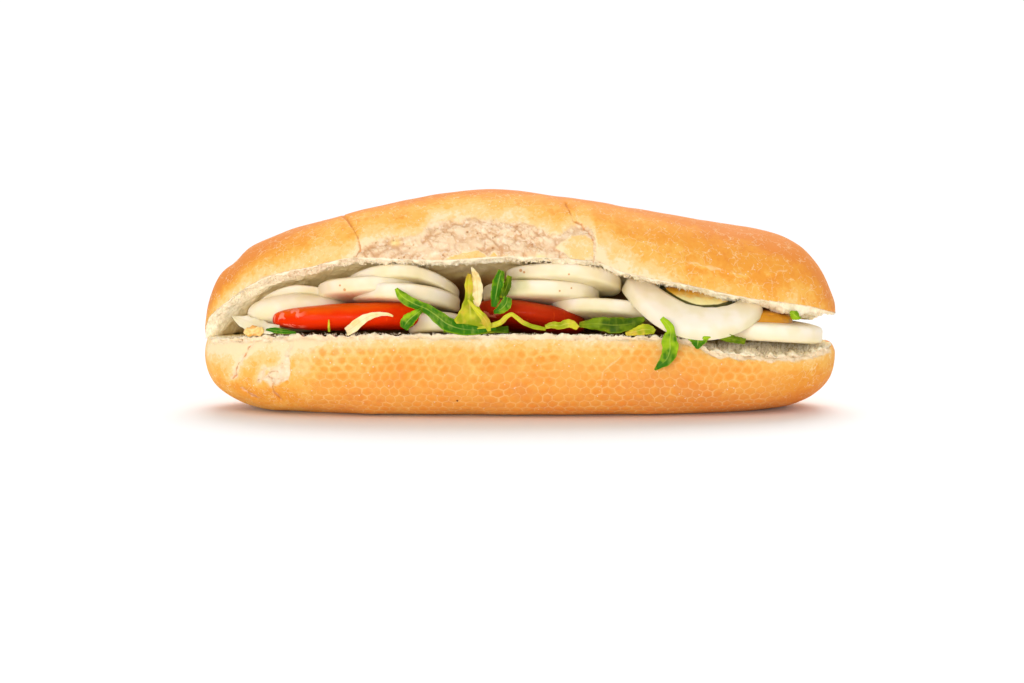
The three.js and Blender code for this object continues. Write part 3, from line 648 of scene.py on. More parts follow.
def hexagon_distance(u, v, larger=np.maximum, smaller=np.minimum):
    """0 in the middle of a honeycomb cell and 0.5 on its edge, for cells one unit apart.

    It works on arrays, and on shader values with the shader's own larger and smaller.
    """
    tall = math.sqrt(3)

    def one(a, b):
        a, b = abs(a % 1 - 0.5), abs(b % tall - tall / 2)
        return larger(a, a * 0.5 + b * (tall / 2))

    return smaller(one(u, v), one(u - 0.5, v - tall / 2))


def crown_rows():
    """Rows of (end inset, side inset, outward share, share of the dome), and their length.

    From the middle of the underside out to the rim, then up the dome by its outward share.
    """
    t = np.linspace(0, 1, 400)[:, None]
    whole, none = np.ones_like(t), np.zeros_like(t)
    under = mix(CROWN_HALF_WIDTH, 0, t)
    below = np.hstack([under, under, whole, none])
    angle = t * math.pi / 2
    out = np.clip(np.cos(angle), 0, 1) ** (2 / CROWN_SIDE)
    up = np.sin(angle) ** (2 / CROWN_SIDE)
    inset = CROWN_HALF_WIDTH * (1 - out)
    dome = np.hstack([inset, inset, out, whole])
    profile = np.vstack([below[:-1], dome])
    rise = np.concatenate([np.zeros(len(below) - 1), PROFILE_DOME * up[:, 0]])
    return profile, path_length(profile[:, 1], rise)


def crown_half(x, side, rows, fine):
    """Points of one side of the crown: the cut underside, then the dome on its tilted plane."""
    profile, length = crown_rows()
    picked = rows_of(profile, length, rows, fine)
    end_inset, _, out, share, _ = section_grid(picked, picked[:, 0], x, rows)
    on_dome = share > 0.5
    wide = np.broadcast_to(x[None, :], out.shape)
    half_length = HALF_LENGTH - end_inset
    reach = side * half_outline(x[None, :], half_length, 1.0)
    plan_y = np.where(on_dome, CROWN_HALF_WIDTH * out, CROWN_HALF_WIDTH - end_inset) * reach
    plan_y = plan_y + CROWN_SET_BACK
    across = np.clip(np.abs(wide) / np.maximum(half_length, 1e-6), 0, 1)
    exponent = mix(CROWN_SIDE, CROWN_END, across**6)
    lower = np.clip(out, 0, 1) ** exponent
    height = dome_height(wide) * (1 - lower) ** (1 / exponent)
    tilt = crown_tilt(wide)
    foot = mix(crown_chord(wide, plan_y), crown_plane(wide, plan_y), np.sqrt(1 - lower))
    z = np.where(on_dome, foot + height * np.cos(tilt), crown_cut(wide, plan_y))
    y = plan_y + np.where(on_dome, height * np.sin(tilt) * CROWN_LEAN, 0)
    return np.stack([wide, y, z, share], axis=-1)


def crown_surface():
    """The plain crown, with what is known at each point of it."""
    stations, _ = outline_stations(STATIONS)
    front_half = crown_half(stations, -1, *CROWN_FRONT_ROWS)
    ring = ring_both(front_half, crown_half(stations, 1, *CROWN_BACK_ROWS))
    x, y, z, dome = np.moveaxis(ring, -1, 0)
    front = np.zeros(x.shape)
    front[:len(front_half)] = 1
    return SimpleNamespace(
        grid=ring[..., :3], x=x, y=y, z=z, dome=dome, front=front, rim=curve_through(CROWN_FRONT_RIM, x),
        gap=np.clip(y - CROWN_SET_BACK + crown_edge(x), 0, None),
    )


def bread_crown():
    """The crown, with its torn front: the crust stands over the lumpy crumb."""
    at = crown_surface()
    at.crust, at.tear, at.left_over = crown_crust(at)
    at.seam = nearest_line(at, CROWN_CRACKS, at.front, 0.25)
    at.peel = nearest_line(at, PEELS, at.front * at.tear, 0.9)
    at.fold = fold_distance(at, CROWN_FOLD, (at.front > 0.5) & (at.dome > 0.5))
    under_fold = smooth((curve_through(CROWN_FOLD, at.x) - at.z) / 0.8)
    at.under_fold = under_fold * smooth((at.x - 49) / 6) * smooth((93 - at.x) / 6) * at.front
    reach = mix(8, 20, smooth((at.x + 60) / 20))
    at.at_rim = (1 - at.dome) * at.front * smooth(at.gap / 0.8) * smooth(2 * (1 - at.gap / reach))
    bent = at.grid + 0.7 * np.stack([noise(at.grid, 2.6, seed) for seed in (23, 24, 25)], axis=-1)
    height, crease = crumb_lumps(at.grid, bent)
    tuft, tuft_crease = lumps(bent * [1, 0.5, 1], 1.2, 52)
    grid = raised(at.grid, dome_relief(at, height) + underside_relief(at, tuft))
    return tube_piece("fine_bread_crown", grid, {
        "crust": at.crust, "bake": crown_bake(at, grid), "cells": np.zeros(grid.shape),
        "seam": np.minimum(at.seam, FAR), "fold": at.fold,
        "crumb": crown_crumb(at, grid, crease, tuft_crease),
    })


def crumb_lumps(grid, bent):
    """Bare crumb: (height of its lumps, layers and strands, creases between the lumps)."""
    big, big_crease = lumps(bent * [0.7, 1, 1.1], 4.2, 21)
    small, small_crease = lumps(bent * [0.9, 1, 0.9], 1.5, 31)
    layers = 0.5 * noise(grid * [0.35, 1, 1], 3.4, 33)
    strands = 0.2 * noise(grid * [1, 1, 0.25], 0.9, 36)
    height = big + 0.5 * small + layers + strands + 0.3 * rough(grid, 2.2, 2, 38)
    return height, np.maximum(big_crease, 0.55 * small_crease)


def dome_relief(at, height):
    """Swellings of the dome, its cracks and fold, and the bare crumb sunk below the crust."""
    relief = 0.5 * rough(at.grid, 19, 2, 3) + 0.14 * noise(at.grid, 6, 5)
    deep = mix(0.8, 1.6, smooth((at.z - at.rim - 0.5) / 5))
    bare = mix(smooth(0.5 - at.crust), smooth((1.3 - at.crust) / 2.4), at.tear * (1 - at.left_over))
    relief -= bare * at.dome * (deep - height)
    relief -= 0.7 * bell(at.seam, 0.3) + 0.5 * at.tear * bell(at.peel, 0.4)
    relief += 0.3 * bell(at.fold, 0.5) - 0.2 * at.under_fold * at.dome
    return relief * mix(0.35, 1, at.dome) * smooth((HALF_LENGTH - np.abs(at.x)) / 0.6)


def underside_relief(at, tuft):
    """Torn tufts along the underside's front edge, and the crumb that hangs lower at the right end."""
    hanging = at.at_rim * mix(0.4, 1, smooth((at.x + 96) / 14))
    relief = hanging * (0.9 * tuft - 0.7 + 0.7 * rough(at.grid * [1, 0.5, 1], 2.4, 3, 55))
    relief += (1 - at.dome) * 0.6 * rough(at.grid, 4, 3, 53)
    sag = smooth((at.x - 84) / 8) * smooth((107 - at.x) / 5) * smooth(at.gap / 1.5)
    return relief + 2.2 * (1 - at.dome) * at.front * sag


def crown_bake(at, grid):
    """How well the crust is baked: pale along the rim and round the tear, dark on top and behind, with
    painted shade under the fold.
    """
    x, y, over_rim = at.x, at.y, at.z - at.rim
    bake = 0.1 + 0.42 * smooth(over_rim / 15) + 0.15 * rough(grid, 24, 3, 61)
    bake += 0.3 * smooth((x - 24) / 60) + 0.12 * smooth((x - 30) / 40) * smooth(1 - over_rim / 14)
    bake += 0.48 * smooth((-60 - x) / 34) * smooth(over_rim / 9) - 0.12 * bell(x - 24, 16)
    bake += 0.5 * smooth((y + 22) / 14) + 0.12 * smooth((y + 26) / 8) * bell(x, 50)
    flaky = smooth(1 + 0.8 * rough(grid, 5, 3, 64) - over_rim / 4.5)
    bake -= 0.18 * smooth((x - 30) / 28) * flaky
    bake -= 0.3 * smooth(1 - (at.crust - 0.3) / 3.5) * smooth((x + 62) / 8) * smooth((32 - x) / 6)
    # Darker just under the fold: painted shade.
    bake = mix(bake, np.where(x < 11, 0.3, 0.14), 0.9 * at.left_over) + 0.12 * at.under_fold
    return mix(0.85 + 0.14 * rough(grid, 24, 3, 62), bake, smooth(0.9 - y / 20))


def crown_crumb(at, grid, crease, tuft_crease):
    """The crumb's creases, darkened with painted shade; yolk stains on the torn front and painted shade
    deeper in under the crown; and 1 where it is the fresh crumb of the underside.
    """
    on_dome = at.dome > 0.5
    crease = crease * smooth(0.75 + 1.3 * noise(grid, 5, 34)) * on_dome
    # Dark lines under the peeling crust layers: painted shadow under the overhang.
    peeling = at.tear * smooth(1 - at.peel / 0.9) * smooth(0.8 + 1.2 * noise(grid, 1.4, 35))
    crease = np.max([crease, peeling, at.at_rim * tuft_crease * 0.2], axis=0)
    # Deeper in under the crown the crumb turns yellow and then brown: painted shade inside the mouth.
    inner = 0.2 + 0.4 * smooth((at.gap - 6) / 10)
    inner = inner + 1.3 * smooth((at.gap - 24) / 12) * smooth((80 - at.x) / 16)
    return np.stack([crease, np.where(on_dome, yolk_stain(grid), inner), at.dome < 0.5], axis=-1)


def nearest_line(at, lines, where, wobble):
    """Distance on the front to the nearest of several lines, and FAR where it doesn't count."""
    near = np.min([line_distance(at.x, at.z, points) for points in lines], axis=0)
    return np.where(where > 0.5, near + wobble * noise(at.grid, 1.6, 8), FAR)


def fold_distance(at, line, where):
    """Distance on the front to a fold that wanders about its line and fades in places, at most FAR."""
    wander_x, wander_z = 0.6 * noise(at.grid, 3, 9), 0.9 * noise(at.grid, 2.4, 10)
    away = line_distance(at.x + wander_x, at.z + wander_z, line)
    return np.where(where, np.minimum(away + 0.5 * smooth(0.3 + noise(at.grid, 5, 11)), FAR), FAR)


def yolk_stain(grid):
    """Yellow stains on the torn front: round spots of [x, height, reach along the roll]."""
    x, _, z = np.moveaxis(grid, -1, 0)
    spots = [bell(x - a, reach) * bell(z - b, 1.5) for a, b, reach in STAINS]
    return np.clip(np.sum(spots, axis=0) * (0.75 + 0.5 * noise(grid, 2.2, 18)), 0, 1)


def crown_crust(at):
    """(Millimetres of crust beyond the torn edge, 1 in the tear, 1 on the crust that is left in it)."""
    x, z = at.x, at.z
    ragged = rough(at.grid * [1, 0.3, 0.3], 3.6, 3, 12)
    start, stop = TEAR_ENDS
    inside_tear = np.min([curve_through(TEAR_TOP, x) - z, (x - start) * 0.8, (stop - x) * 1.4], axis=0)
    wavy = 0.9 * rough(at.grid, 5, 3, 14)
    crust = np.minimum(z - at.rim + 0.2 + 0.8 * ragged, 0.4 - 0.5 * (inside_tear + wavy))
    strip_x, strip_top = np.array(CRUST_STRIP).T
    strip = np.interp(x, strip_x, strip_top, left=0, right=0) + 0.25 * noise(at.grid, 1.2, 15) - z
    strip = np.minimum(strip, z - at.rim + 0.5 + 0.5 * ragged)
    flake = outline_depth(x, z, FLAKE) + 0.3 * noise(at.grid, 2, 16)
    left_over = np.maximum(strip, np.minimum(flake, z - at.rim + 0.4)) * at.front
    crust = np.where(at.front > 0.5, np.maximum(crust, left_over), WHOLE)
    crust = np.where(at.dome > 0.5, np.clip(crust, BARE, WHOLE), BARE)
    return crust, smooth(inside_tear / 2) * at.front, smooth(left_over / 0.3)


def octahedron_ball():
    """A unit ball of 18 points and 32 faces: an octahedron with each side split in four."""
    points, faces, found = [], [], {}

    def index(point):
        key = tuple(np.round(point, 6))
        if key not in found:
            found[key] = len(points)
            points.append(point / np.linalg.norm(point))
        return found[key]

    for signs in np.ndindex(2, 2, 2):
        corner = np.diag(np.array(signs) * 2.0 - 1)
        if np.linalg.det(corner) < 0:
            corner = corner[::-1]
        a, b, c = corner
        ends = [index(p) for p in (a, b, c)]
        middles = [index(p) for p in ((a + b) / 2, (b + c) / 2, (c + a) / 2)]
        for k in range(3):
            faces.append((ends[k], middles[k], middles[k - 1]))
        faces.append(tuple(middles))
    return np.array(points), np.array(faces)


def crumbs(name, centres, radii, stretch, seed):
    """Loose crumbs, joined: balls of 32 faces, stretched and pushed about by noise."""
    ball, faces = octahedron_ball()
    spin = noise(centres, 0.7, seed) * math.pi
    x, y, z = np.moveaxis(ball[None] * radii[:, None, None] * np.array(stretch), -1, 0)
    cos, sin = np.cos(spin)[:, None], np.sin(spin)[:, None]
    points = centres[:, None] + np.stack([x * cos - z * sin, y, x * sin + z * cos], axis=-1)
    points = points + 0.35 * radii[:, None, None] * noise(points, 0.45, seed + 1)[..., None]
    order = faces[None] + (np.arange(len(centres)) * len(ball))[:, None, None]
    shade = np.repeat(0.5 + 0.5 * noise(centres, 1.3, seed + 2), len(ball))
    no_quads = np.zeros((0, 4), int)
    return make_piece(name, points.reshape(-1, 3), no_quads, order.reshape(-1, 3), crumb_look(shade))


def crumb_look(shade):
    """The bread attributes of loose crumb, from a shade of 0 to 1 for each point."""
    far = np.full(len(shade), FAR)
    crumb = np.stack([0.1 * (1 - shade), 0.2 * shade, 0.5 + 0.5 * shade], axis=-1)
    return {"crust": np.full(len(shade), BARE), "crumb": crumb, "seam": far, "fold": far}


def fibres(name, roots, leans, radius, seed):
    """Torn fibres of crumb, joined: each a three-sided spike of two steps, bent sideways by noise."""
    t = np.array([0, 0.5, 1])[None, :, None, None]
    turn = np.arange(3) * 2 * math.pi / 3
    section = np.stack([np.cos(turn), np.sin(turn), 0 * turn], axis=-1)[None, None]
    bend = np.stack([noise(roots, 0.9, seed + k) for k in range(3)], axis=-1)[:, None, None]
    length = np.linalg.norm(leans, axis=-1)[:, None, None, None]
    points = roots[:, None, None] + leans[:, None, None] * t + bend * length * 0.6 * t**2
    points = (points + section * radius * (1 - 0.75 * t)).reshape(-1, 3)
    ring, corner = np.meshgrid([0, 3], range(3), indexing="ij")
    after = (corner + 1) % 3
    sides = np.stack([ring + corner, ring + after, ring + 3 + after, ring + 3 + corner], axis=-1)
    start = (np.arange(len(roots)) * 9)[:, None, None]
    quads = (sides.reshape(1, -1, 4) + start).reshape(-1, 4)
    ends = (np.array([[2, 1, 0], [6, 7, 8]])[None] + start).reshape(-1, 3)
    return make_piece(name, points, quads, ends, crumb_look(np.full(len(points), 0.8)))


def on_base(x, inward, above):
    """Points on the base's cut, some way in from its front edge."""
    y = inward - half_outline(x, HALF_LENGTH, BASE_HALF_WIDTH)
    return np.stack([x, y, base_cut(x, y) + above], axis=-1)


def under_crown(x, inward, above):
    """Points on the crown's underside, some way in from its front edge."""
    y = CROWN_SET_BACK + inward - crown_edge(x)
    return np.stack([x, y, crown_cut(x, y) + above], axis=-1)


def rim_crumbs():
    """Crumbs and fibres along the torn edges: on the base's front rim, and under the crown's."""
    random = np.random.default_rng(4)
    x = np.sort(random.uniform(-98, 102, CRUMBS))
    inward = np.clip(random.uniform(-0.2, 3.2, CRUMBS), 0, None) ** 1.3 * mix(0.5, 1.6, opened_end(x))
    centres = on_base(x, RIM_TURN_IN + inward, random.uniform(-0.3, 0.5, CRUMBS))
    low = crumbs("base_crumbs", centres, random.uniform(0.1, 0.26, CRUMBS), (1.2, 1, 0.8), 80)
    centres = under_crown(x, random.uniform(0.2, 7, CRUMBS), -random.uniform(-0.2, 0.5, CRUMBS))
    high = crumbs("crown_crumbs", centres, random.uniform(0.12, 0.36, CRUMBS), (0.7, 1, 1.6), 90)
    x = np.concatenate([random.uniform(-100, 60, FIBRES // 3), random.uniform(58, 106, FIBRES)])
    inward = random.uniform(0.1, 1, len(x)) * mix(1.2, 13, opened_end(x))
    leans = random.uniform((-1.6, -1.2, 0.6), (1.2, 0.2, 2.0), (len(x), 3)) * mix(0.4, 1, x[:, None] > 60)
    fur = fibres("base_fibres", on_base(x, RIM_TURN_IN + inward, 0.1), leans, 0.14, 84)
    x = random.uniform(-96, 100, FIBRES // 2)
    roots = under_crown(x, random.uniform(0.4, 5, len(x)), 0.3)
    leans = random.uniform((-0.7, -0.6, -1.6), (0.7, 0.2, -0.6), (len(x), 3))
    return low, high, fur, fibres("crown_fibres", roots, leans, 0.13, 94)


# The fillings

# A slice as it lies: where the middle of its front edge is, its length, depth and thickness, the
# degrees that its front is turned up (tilt) and its right end down (roll), how far its front and
# back edges (droop) and its two ends (hang) lie below its middle, how square its rim and its outline
# (plan) are, the shares of its thickness at its two ends (taper), and how much smaller its upper face
# is (flare).
SLICES = {
    "egg_yolk_10": dict(lip=(60.2, -30.4, 34.9), size=(28.2, 23, 6.8), droop=(4.3, 3.2), roll=9, rim=3.5),
    "egg_slice_10": dict(
        lip=(57.6, -39.4, 29.6), size=(50.5, 42, 6.4), droop=(10.5, 8), hang=(-0.8, 0), roll=9,
        flare=0.08),
    "egg_yolk_11": dict(lip=(81.6, -25, 32.4), size=(25, 24, 8), tilt=2, roll=3, rim=2.4),
    "egg_slice_11": dict(lip=(84, -30, 29.2), size=(41.5, 38, 6.6), hang=(0, 1), tilt=2, roll=3),
    "tomato_slice_1": dict(
        lip=(-58.6, -34, 35.2), size=(54, 38, 9.6), taper=(0.82, 1.12), tilt=6, roll=-1.5, rim=3.4,
        plan=3.2),
    "tomato_slice_2": dict(lip=(3.6, -32, 37), size=(39, 38, 8.6), tilt=13, roll=8, rim=3),
    "egg_slice_09": dict(lip=(30, -31, 38.7), size=(38, 34, 5.8), tilt=13, roll=4),
    "egg_slice_05": dict(lip=(-39, -33, 43.8), size=(37, 35, 6.4), hang=(0, 2), tilt=11, roll=3),
    "egg_slice_06": dict(lip=(-27.6, -31, 33.3), size=(21.5, 24, 7), hang=(1, 2), tilt=8),
    "egg_slice_08": dict(lip=(7.4, -31, 44.9), size=(40, 35, 6.6), tilt=14, roll=1),
    "egg_slice_07": dict(
        lip=(15, -32, 51), size=(40, 36, 5.8), taper=(0.95, 1.15), hang=(0, 1.5), tilt=16, roll=2),
    "egg_slice_03": dict(lip=(-51.5, -30, 46.2), size=(37, 34, 6.4), hang=(0, 1), tilt=14, roll=-2),
    "egg_slice_04": dict(lip=(-41, -29, 50.6), size=(41, 34, 5.6), hang=(4, 5.6), tilt=15, roll=1),
    "egg_slice_01": dict(lip=(-77, -26, 38), size=(34.5, 26, 12.5), tilt=16, roll=-2, rim=2.2),
    "egg_slice_02": dict(lip=(-76, -19, 43.2), size=(32, 24, 3.6), hang=(5, 4), tilt=14, roll=-1),
    "yolk_scrap": dict(lip=(-90.8, -27.6, 29.4), size=(7.6, 5, 3.6), roll=-6, rim=2),
}

# A strip of leaf as it lies: its middle line, its width at even steps along it, where its face
# looks, how far its edges swing and curl, its thickness, and how dark it is from 0 to 1 (shade).
STRIPS = {
    "leaf_01": dict(
        path=[(-42, -36.4, 44.9), (-39.4, -37, 41.9), (-35.6, -37, 39.7), (-31.6, -37.2, 38),
              (-27.8, -37.2, 35.4), (-24.5, -37.2, 32.9), (-19.7, -36.8, 31.2), (-13.6, -36.2, 30.8),
              (-8.2, -35.6, 31)],
        widths=[1.2, 3.6, 3.3, 3.4, 4.4, 4.8, 4.2, 2.8, 1.6], wave=0.5, shade=0.6, slot="leaf_green"),
    "leaf_02": dict(
        path=[(-33.6, -38.6, 37.6), (-36.1, -38.8, 35.8), (-38.2, -38.6, 33.8), (-39.4, -38.2, 31.6)],
        widths=[1.6, 3.6, 4.4, 2.8], wave=0.5, shade=0.6, slot="leaf_green"),
    "leaf_03": dict(
        path=[(-17.2, -33.6, 49.6), (-17.4, -34.6, 46), (-17.3, -35.4, 42), (-17, -36, 38),
              (-16.8, -36.2, 34.8), (-16.4, -36, 31.8)],
        widths=[1.2, 2.8, 2.8, 6.6, 10.4, 8], cup=1, slot="leaf_yellow"),
    "leaf_04": dict(
        path=[(-16.4, -34.2, 52), (-15.1, -34.8, 49), (-14.5, -35.4, 45.6), (-14.4, -36, 42.2),
              (-14.8, -36.4, 38.8)],
        widths=[0.6, 2.5, 3.5, 3.3, 1.8], wave=0.5, slot="leaf_pale"),
    "leaf_05": dict(
        path=[(-17.6, -37.8, 41.2), (-16, -38.2, 39.2), (-14, -38.5, 37), (-12.3, -38.5, 35.2),
              (-11.2, -38.4, 33.2), (-10.5, -38, 30.6)],
        widths=[0.7, 1.3, 1.8, 2.5, 2.5, 1.2], wave=0.3, slot="leaf_yellow"),
    "leaf_06": dict(
        path=[(-6.3, -34, 50.8), (-7.4, -35, 47), (-8.2, -35.6, 42.6), (-9, -35.8, 38.6)],
        widths=[2, 3.9, 3.6, 1.8], shade=0.8, slot="leaf_green"),
    "leaf_07": dict(
        path=[(-3.6, -34, 49), (-4.6, -35, 45.4), (-6.2, -36, 41.6)],
        widths=[1.6, 2.8, 2], slot="leaf_dark"),
    "leaf_08": dict(
        path=[(-4.3, -37, 42), (-4.8, -37.6, 39.9), (-6.4, -37.4, 38.1), (-8.9, -37, 36.9)],
        widths=[2.6, 3.8, 3.2, 1.2], wave=0.4, shade=0.8, slot="leaf_green"),
    "leaf_09": dict(
        path=[(-14.6, -36.2, 31.8), (-10, -36.6, 32.4), (-6.8, -37, 33.4), (-4.8, -37, 35.2),
              (-3.1, -37, 36.2), (-1.5, -37, 35.4), (0.4, -37, 33.8), (2.8, -37.2, 32.6),
              (5.6, -37.2, 31.8), (8.6, -37, 31.2)],
        widths=[1.4, 1.8, 1.8, 1.6, 1.4, 1.4, 1.5, 1.5, 1.5, 1], wave=0.3, slot="leaf_yellow"),
    "leaf_10": dict(
        path=[(8.4, -36.8, 31.9), (10.8, -37, 32.6), (13.2, -37.2, 32.3), (15.4, -37, 33),
              (17.4, -36.8, 32.9), (19.4, -36.4, 31.4)],
        widths=[1.4, 2.2, 2.4, 2.8, 2.8, 1.6], wave=0.5, slot="leaf_yellow"),
    "leaf_11": dict(
        path=[(20, -33.4, 32.4), (26, -35, 32.8), (31.6, -35.6, 32.4), (37, -35.4, 32.8),
              (42, -35, 34.4)],
        widths=[1.8, 4.2, 5.4, 4.4, 1.6], slot="leaf_dark"),
    "leaf_12": dict(
        path=[(35.6, -37, 29.6), (38.4, -37.3, 30.2), (41, -37.4, 31), (43.4, -37.3, 31.1),
              (45.4, -37.2, 30.2)],
        widths=[1.2, 2.4, 3.6, 3.4, 1.6], wave=0.5, slot="leaf_yellow"),
    "leaf_13": dict(
        path=[(47.6, -40.3, 35.3), (49.8, -40.5, 32.9), (50.7, -40.5, 30.8), (50.4, -40, 27.8),
              (50.5, -39.4, 24.5), (49.5, -39.2, 21.4), (47.4, -39.2, 19.4), (45.4, -39.2, 17.6)],
        widths=[1.7, 2.7, 3, 5.1, 5.4, 4.6, 2.6, 0.7], wave=0.3, slot="leaf_green"),
    "leaf_14": dict(
        path=[(60.1, -38, 29.2), (60, -38.2, 27), (59.7, -38, 24.6)],
        widths=[9, 5.4, 0.9], wave=0.3, slot="leaf_green"),
    "leaf_15": dict(
        path=[(66.4, -35, 29), (71.8, -35.4, 27.7), (76.2, -35.4, 26.8)],
        widths=[2.4, 2.6, 2], slot="leaf_dark"),
    "leaf_16": dict(
        path=[(-86.6, -28, 30.1), (-83.6, -28.8, 30), (-80.2, -29.6, 29.6), (-76.4, -30, 29.3)],
        widths=[0.7, 1.9, 1.6, 0.8], wave=0.3, shade=1, slot="leaf_green"),
    "leaf_17": dict(
        path=[(-64.8, -35.2, 34.2), (-64.8, -35.6, 32.4), (-64.7, -35.6, 30.2)],
        widths=[0.4, 0.7, 0.8], thickness=0.7, wave=0.1, slot="leaf_yellow"),
    "leaf_18": dict(
        path=[(92.4, -24, 36), (94, -24.4, 34.6), (95.6, -24.2, 33.4)],
        widths=[1, 3.2, 0.8], wave=0.6, slot="leaf_green"),
    "leaf_19": dict(
        path=[(-26, -35, 30.2), (-18, -35.4, 30.4), (-10, -35.2, 30.8), (-4, -34.6, 30.8)],
        widths=[1.4, 3, 3.4, 2], wave=0.4, facing=(0, -0.7, 0.7), slot="leaf_dark"),
    "leaf_rib": dict(
        path=[(-58.8, -33, 30), (-56.4, -35.6, 31.8), (-52.9, -37.3, 34.6), (-50.2, -37.4, 35.8),
              (-47.1, -37.2, 36.3), (-44.7, -37, 36.2), (-43.1, -36.6, 35.5)],
        widths=[3, 3.4, 2.9, 2.1, 1.4, 1, 0.5], thickness=1.4, wave=0.2, cup=0.5, slot="leaf_pale"),
    "egg_scrap": dict(
        path=[(-99, -15, 33.4), (-95.4, -18.6, 32.2), (-91, -22, 31), (-86, -25.4, 30.2),
              (-82, -27.4, 30.4)],
        widths=[0.8, 4.2, 5.4, 4.4, 2], thickness=1.4, wave=0.4, facing=(0, -0.85, 0.5),
        slot="egg_white"),
}

# The hollow in slice 10 that holds its yolk, in the slice's own coordinates from -1 to 1
SOCKET = {"along": 0.07, "across": -0.03, "half_along": 0.645, "half_across": 0.625, "depth": 2.6}
YOLK_GAP_SHARE = 0.15  # how much of the yolk's outline the dark ring round it takes
BLADE_SHARE = 0.6  # a blade's thickness as a share of its solid's


def placed_slice(piece, along, across, through):
    """A slice's own coordinates, each from -1 to 1, taken to where it lies in the mouth."""
    length, depth, thickness = piece["size"]
    thick_left, thick_right = piece.get("taper", (1, 1))
    half_thick = thickness / 2 * mix(thick_left, thick_right, (along + 1) / 2)
    spread = 1 - piece.get("flare", 0) * (through + 1) / 2
    front, back = piece.get("droop", (0, 0))
    left, right = piece.get("hang", (0, 0))
    below = np.where(across < 0, front, back) * across**2 + np.where(along < 0, left, right) * along**2
    x = length / 2 * along * spread
    y = depth / 2 * across * spread + depth / 2
    z = half_thick * through - below + front
    tilt, roll = math.radians(-piece.get("tilt", 0)), math.radians(piece.get("roll", 0))
    y, z = y * math.cos(tilt) - z * math.sin(tilt), y * math.sin(tilt) + z * math.cos(tilt)
    x, z = x * math.cos(roll) + z * math.sin(roll), z * math.cos(roll) - x * math.sin(roll)
    return np.stack([x, y, z], axis=-1) + np.array(piece["lip"], float)


def slice_grid(piece):
    """A round-edged disc: a superellipse section carried round the slice's outline.

    Rows run round the outline and columns over the rim from the middle of one face to the other,
    three times closer over the rim than on the faces.
    """
    around, over = SLICE_GRID
    section_power = 2 / piece.get("rim", 6)
    plan_power = 2 / piece.get("plan", 2)
    turn = np.linspace(0, 2 * math.pi, around, endpoint=False)[:, None]
    dense = np.linspace(-1, 1, 2001) * math.pi / 2
    out = np.clip(np.cos(dense), 0, 1) ** section_power
    through = signed_power(np.sin(dense), section_power)
    _, depth, thickness = piece["size"]
    step = np.hypot(np.diff(out) * depth / 2, np.diff(through) * thickness / 2)
    closer = np.where(np.abs(dense[1:]) < 1.3, 3.0, 1.0)
    length = np.concatenate([[0], np.cumsum(step * closer)])
    wanted = np.linspace(0, length[-1], over + 2)[1:-1]
    out = np.interp(wanted, length, out)[None, :]
    along = out * signed_power(np.cos(turn), plan_power)
    across = out * signed_power(np.sin(turn), plan_power)
    through = np.interp(wanted, length, through)[None, :]
    return along, across, np.broadcast_to(through, along.shape)


def socket_radius(along, across):
    """1 on the edge of the hollow that holds slice 10's yolk, less inside it."""
    along = (along - SOCKET["along"]) / SOCKET["half_along"]
    across = (across - SOCKET["across"]) / SOCKET["half_across"]
    return (along * along + across * across) ** 0.5


def slice_piece(name, piece, seed):
    """A slice with an uneven outline and gently rippled faces."""
    along, across, through = slice_grid(piece)
    flat = np.stack([along * 10, across * 10, np.full(along.shape, seed * 7.0)], axis=-1)
    swell = 1 + 0.012 * rough(flat, 7, 2, seed) * (along**2 + across**2)
    grid = placed_slice(piece, along * swell, across * swell, through)
    face = np.stack([along, across, through], axis=-1)
    return tube_piece("fine_" + name, raised(grid, slice_relief(name, grid, face, seed)), {"face": face})


def slice_relief(name, grid, face, seed):
    """Ripples of a slice's faces, and what only some slices have."""
    along, across, through = np.moveaxis(face, -1, 0)
    relief = 0.1 * rough(grid, 7, 3, seed + 3)
    if name == "egg_slice_10":  # the hollow round its yolk
        hollow = smooth((1 - socket_radius(along, across) + 0.02 * noise(grid, 8, 77)) / 0.07)
        relief -= SOCKET["depth"] * hollow * (through > 0.5)
    if name == "egg_slice_04":  # a crack through its front, with the right side a little lower
        crack = grid[..., 0] + 34.2 - 0.5 * np.sin(grid[..., 2] * 1.3) - 0.2 * (grid[..., 2] - 50)
        relief -= 0.35 * bell(crack, 0.3) + 0.18 * smooth(crack / 0.5)
    if "yolk" in name:  # crumbly
        relief += 0.16 * rough(grid, 2.2, 3, seed)
    if name == "yolk_scrap":  # a torn lump
        relief += 1.1 * rough(grid * [1.3, 1, 0.8], 3.4, 3, seed + 9) - 0.4
    if name.startswith("tomato"):  # flesh ribbed along the slice
        relief += 0.22 * rough(grid * [0.5, 1, 1], 5, 3, seed + 6)
    return relief


def even_curve(values, t):
    """The curve through values at even steps from 0 to 1."""
    return curve_through(np.stack([np.linspace(0, 1, len(values)), values], axis=-1), t)


def strip_frame(strip, t):
    """A strip's middle line, and the directions across it and out of its face, at each t."""
    middle = np.stack([even_curve(column, t) for column in np.array(strip["path"], float).T], axis=-1)
    tangent = np.gradient(middle, axis=0)
    tangent /= np.linalg.norm(tangent, axis=-1, keepdims=True)
    facing = np.array(strip.get("facing", (0, -1, 0.15)))
    across = np.cross(tangent, facing / np.linalg.norm(facing))
    across /= np.linalg.norm(across, axis=-1, keepdims=True)
    return middle, across, np.cross(across, tangent)


